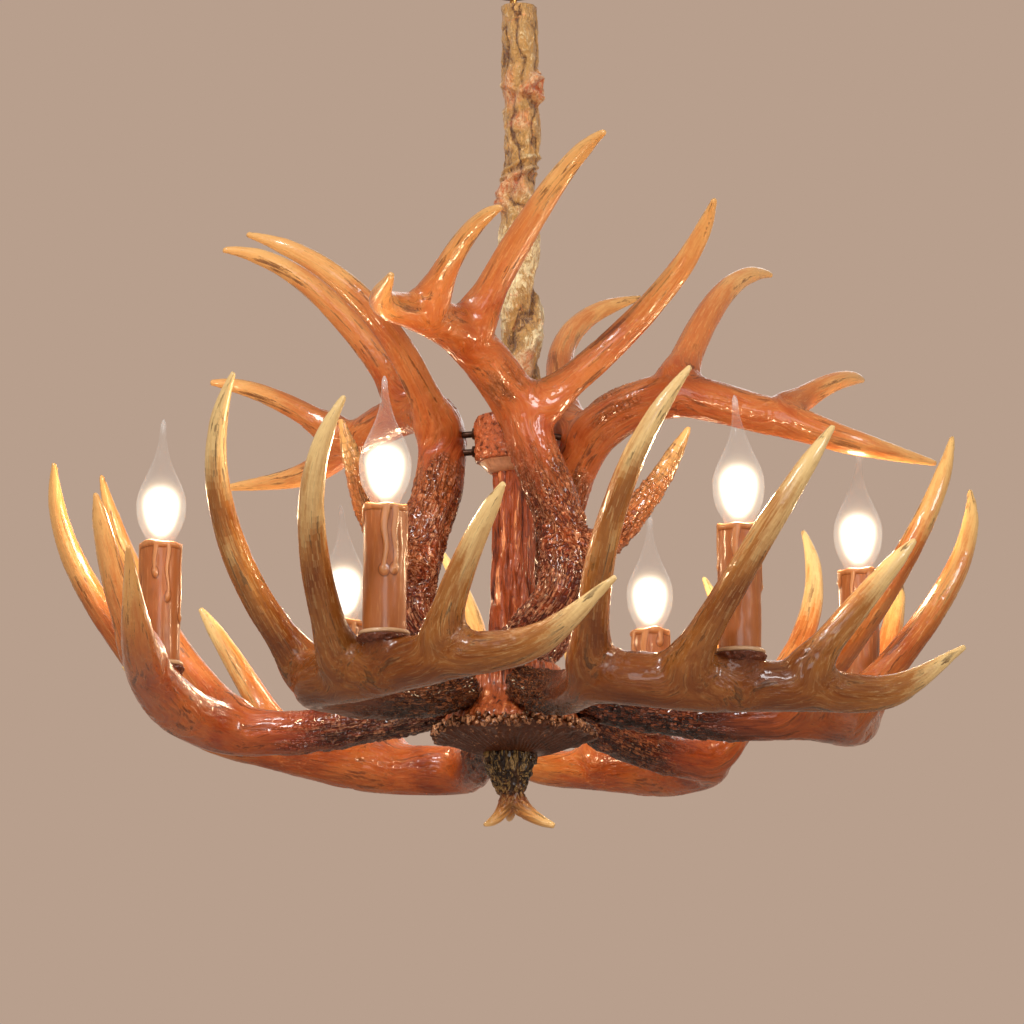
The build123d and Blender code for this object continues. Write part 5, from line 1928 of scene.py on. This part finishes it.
@dataclass
class Studio:
    """Camera, plain floor, backdrop and soft lamps.

    The lens and sensor are in millimetres, other lengths in metres and angles in degrees.
    """

    lens: float = 174.5
    sensor: float = 36.0
    distance: float = 3.492
    look_up: float = 8.69
    aim_up: float = 11.29
    shift_x: float = -0.0013
    floor_z: float = -1.5
    floor_half: float = 6.0
    floor_glow: float = 0.3
    dome: float = 0.5
    dome_stops: Stops = ((0.0, (0.16, 0.13, 0.11)), (0.5, (0.42, 0.38, 0.34)), (1.0, (1.0, 0.97, 0.93)))
    backdrop: Colour = linear(184, 159, 141)
    floor: Colour = linear(196, 176, 160)
    panels: tuple[Panel, ...] = (
        Panel("key_panel", (-1.5, -2.2, 1.5), 0.7, 62.0),
        Panel("fill_panel", (2.1, -2.0, 0.6), 0.7, 32.0),
        Panel("front_panel", (0.1, -3.2, -0.2), 1.2, 16.0),
        Panel("back_panel", (0.6, 2.4, 0.8), 1.2, 5.0),
    )
    panel_aim: float = 0.1
    bulb_power: float = 0.55
    bulb_light: Colour = (1.0, 0.72, 0.42)
    bulb_size: float = 0.013
    bulb_rise: float = 0.026

    def build(self) -> None:
        """Puts the whole studio up."""
        self._camera()
        self._floor()
        self._panels()
        self._world()

    def _camera(self) -> None:
        """The photograph's viewpoint: low in front, looking up at the datum."""
        data = bpy.data.cameras.new("camera")
        data.lens = self.lens
        data.sensor_width = self.sensor
        data.shift_x = self.shift_x
        data.clip_end = 100.0
        camera = bpy.data.objects.new("camera", data)
        rise = math.radians(self.look_up)
        camera.location = (0, -self.distance * math.cos(rise), DATUM - self.distance * math.sin(rise))
        camera.rotation_euler = (math.radians(90 + self.aim_up), 0, 0)
        bpy.context.scene.collection.objects.link(camera)
        bpy.context.scene.camera = camera

    def _floor(self) -> None:
        """A wide plain floor that keeps the object's shadow."""
        corners = np.array([(-1, -1, 0), (1, -1, 0), (1, 1, 0), (-1, 1, 0)]) * self.floor_half
        corners[:, 2] = self.floor_z
        plane = mesh_piece("floor", corners, [(0, 1, 2, 3)])
        s = Shader("studio_floor")
        plane.data.materials.append(s.finish(
            Base_Color=s.mix(s.noise(s.place(), scale=3.0, detail=2) * 0.15, self.floor, self.backdrop),
            Roughness=0.9, Specular_IOR_Level=0.1,
            Emission_Color=s.mix(s.seen_by("Camera"), BLACK, self.backdrop),
            Emission_Strength=self.floor_glow,
        ))

    @staticmethod
    def _lamp(name: str, kind: str, place: Point, power: float) -> bpy.types.Object:
        """A lamp of a kind at a place.

        Args:
            name: Its name.
            kind: AREA or POINT.
            place: Where it hangs.
            power: Its power in watts.

        Returns:
            The lamp.
        """
        data = bpy.data.lights.new(name, kind)
        data.energy = power
        lamp = bpy.data.objects.new(name, data)
        lamp.location = place
        bpy.context.scene.collection.objects.link(lamp)
        return lamp

    def _panels(self) -> None:
        """Soft panels round the object, turned to its middle."""
        for panel in self.panels:
            lamp = self._lamp(panel.name, "AREA", panel.place, panel.power)
            lamp.data.shape = "SQUARE"
            lamp.data.size = panel.size
            aim = Vector((0, 0, DATUM + self.panel_aim)) - Vector(panel.place)
            lamp.rotation_euler = aim.to_track_quat("-Z", "Y").to_euler()

    def light_bulbs(self, bulbs: list[bpy.types.Object]) -> None:
        """Hangs a small warm lamp in each bulb, which neither lights the bulbs nor is held back by them.

        Args:
            bulbs: The glasses and hearts.
        """
        skipped = bpy.data.collections.new("bulbs_let_light_by")
        for bulb in bulbs:
            skipped.objects.link(bulb)
        for link in skipped.collection_objects:
            link.light_linking.link_state = "EXCLUDE"
        for place in PLACES:
            seat = CandleSeat.at(place)
            middle = (seat.x, seat.y, seat.rim + self.bulb_rise)
            lamp = self._lamp(f"lamp_{place}", "POINT", middle, self.bulb_power)
            lamp.data.color = self.bulb_light
            lamp.data.shadow_soft_size = self.bulb_size
            lamp.light_linking.receiver_collection = skipped
            lamp.light_linking.blocker_collection = skipped

    def _world(self) -> None:
        """An even dome for light, and the plain backdrop colour where it is seen or mirrored."""
        world = bpy.data.worlds.new("studio")
        bpy.context.scene.world = world
        s = Sky(world)
        direction = s.add("ShaderNodeTexCoord", out="Generated")
        height = s.add("ShaderNodeSeparateXYZ", None, {0: direction}, out="Z")
        light = {"Color": s.ramp(height * 0.5 + 0.5, self.dome_stops), "Strength": self.dome}
        dome = s.add("ShaderNodeBackground", None, light)
        plain = s.add("ShaderNodeBackground", None, {"Color": self.backdrop})
        seen = sum(s.seen_by(kind) for kind in ("Camera", "Glossy", "Transmission"))
        s.show(s.add("ShaderNodeMixShader", None, {0: seen.clamp(), 1: dome, 2: plain}))
        bpy.context.scene.view_settings.view_transform = "Standard"


def main() -> None:
    """Loads the frame and builds every sub-assembly in order."""
    logging.basicConfig(level=logging.INFO, format="%(message)s")
    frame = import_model()
    studio = Studio()
    studio.build()
    paint = Paint()
    ChainSleeve().build(paint)
    LOWER_SET.build(paint)
    UPPER_SET.build(paint)
    CentreStack().build(paint)
    Finial(FINIAL_MOULD).build(paint)
    CandleCups().build(paint)
    candles = [Candle(place, seed) for seed, place in enumerate(PLACES, 1)]
    bulbs = [piece for candle in candles for piece in candle.build(paint)]
    studio.light_bulbs(bulbs)
    HARDWARE.build(frame["nodes"], paint)


if __name__ == "__main__":
    main()
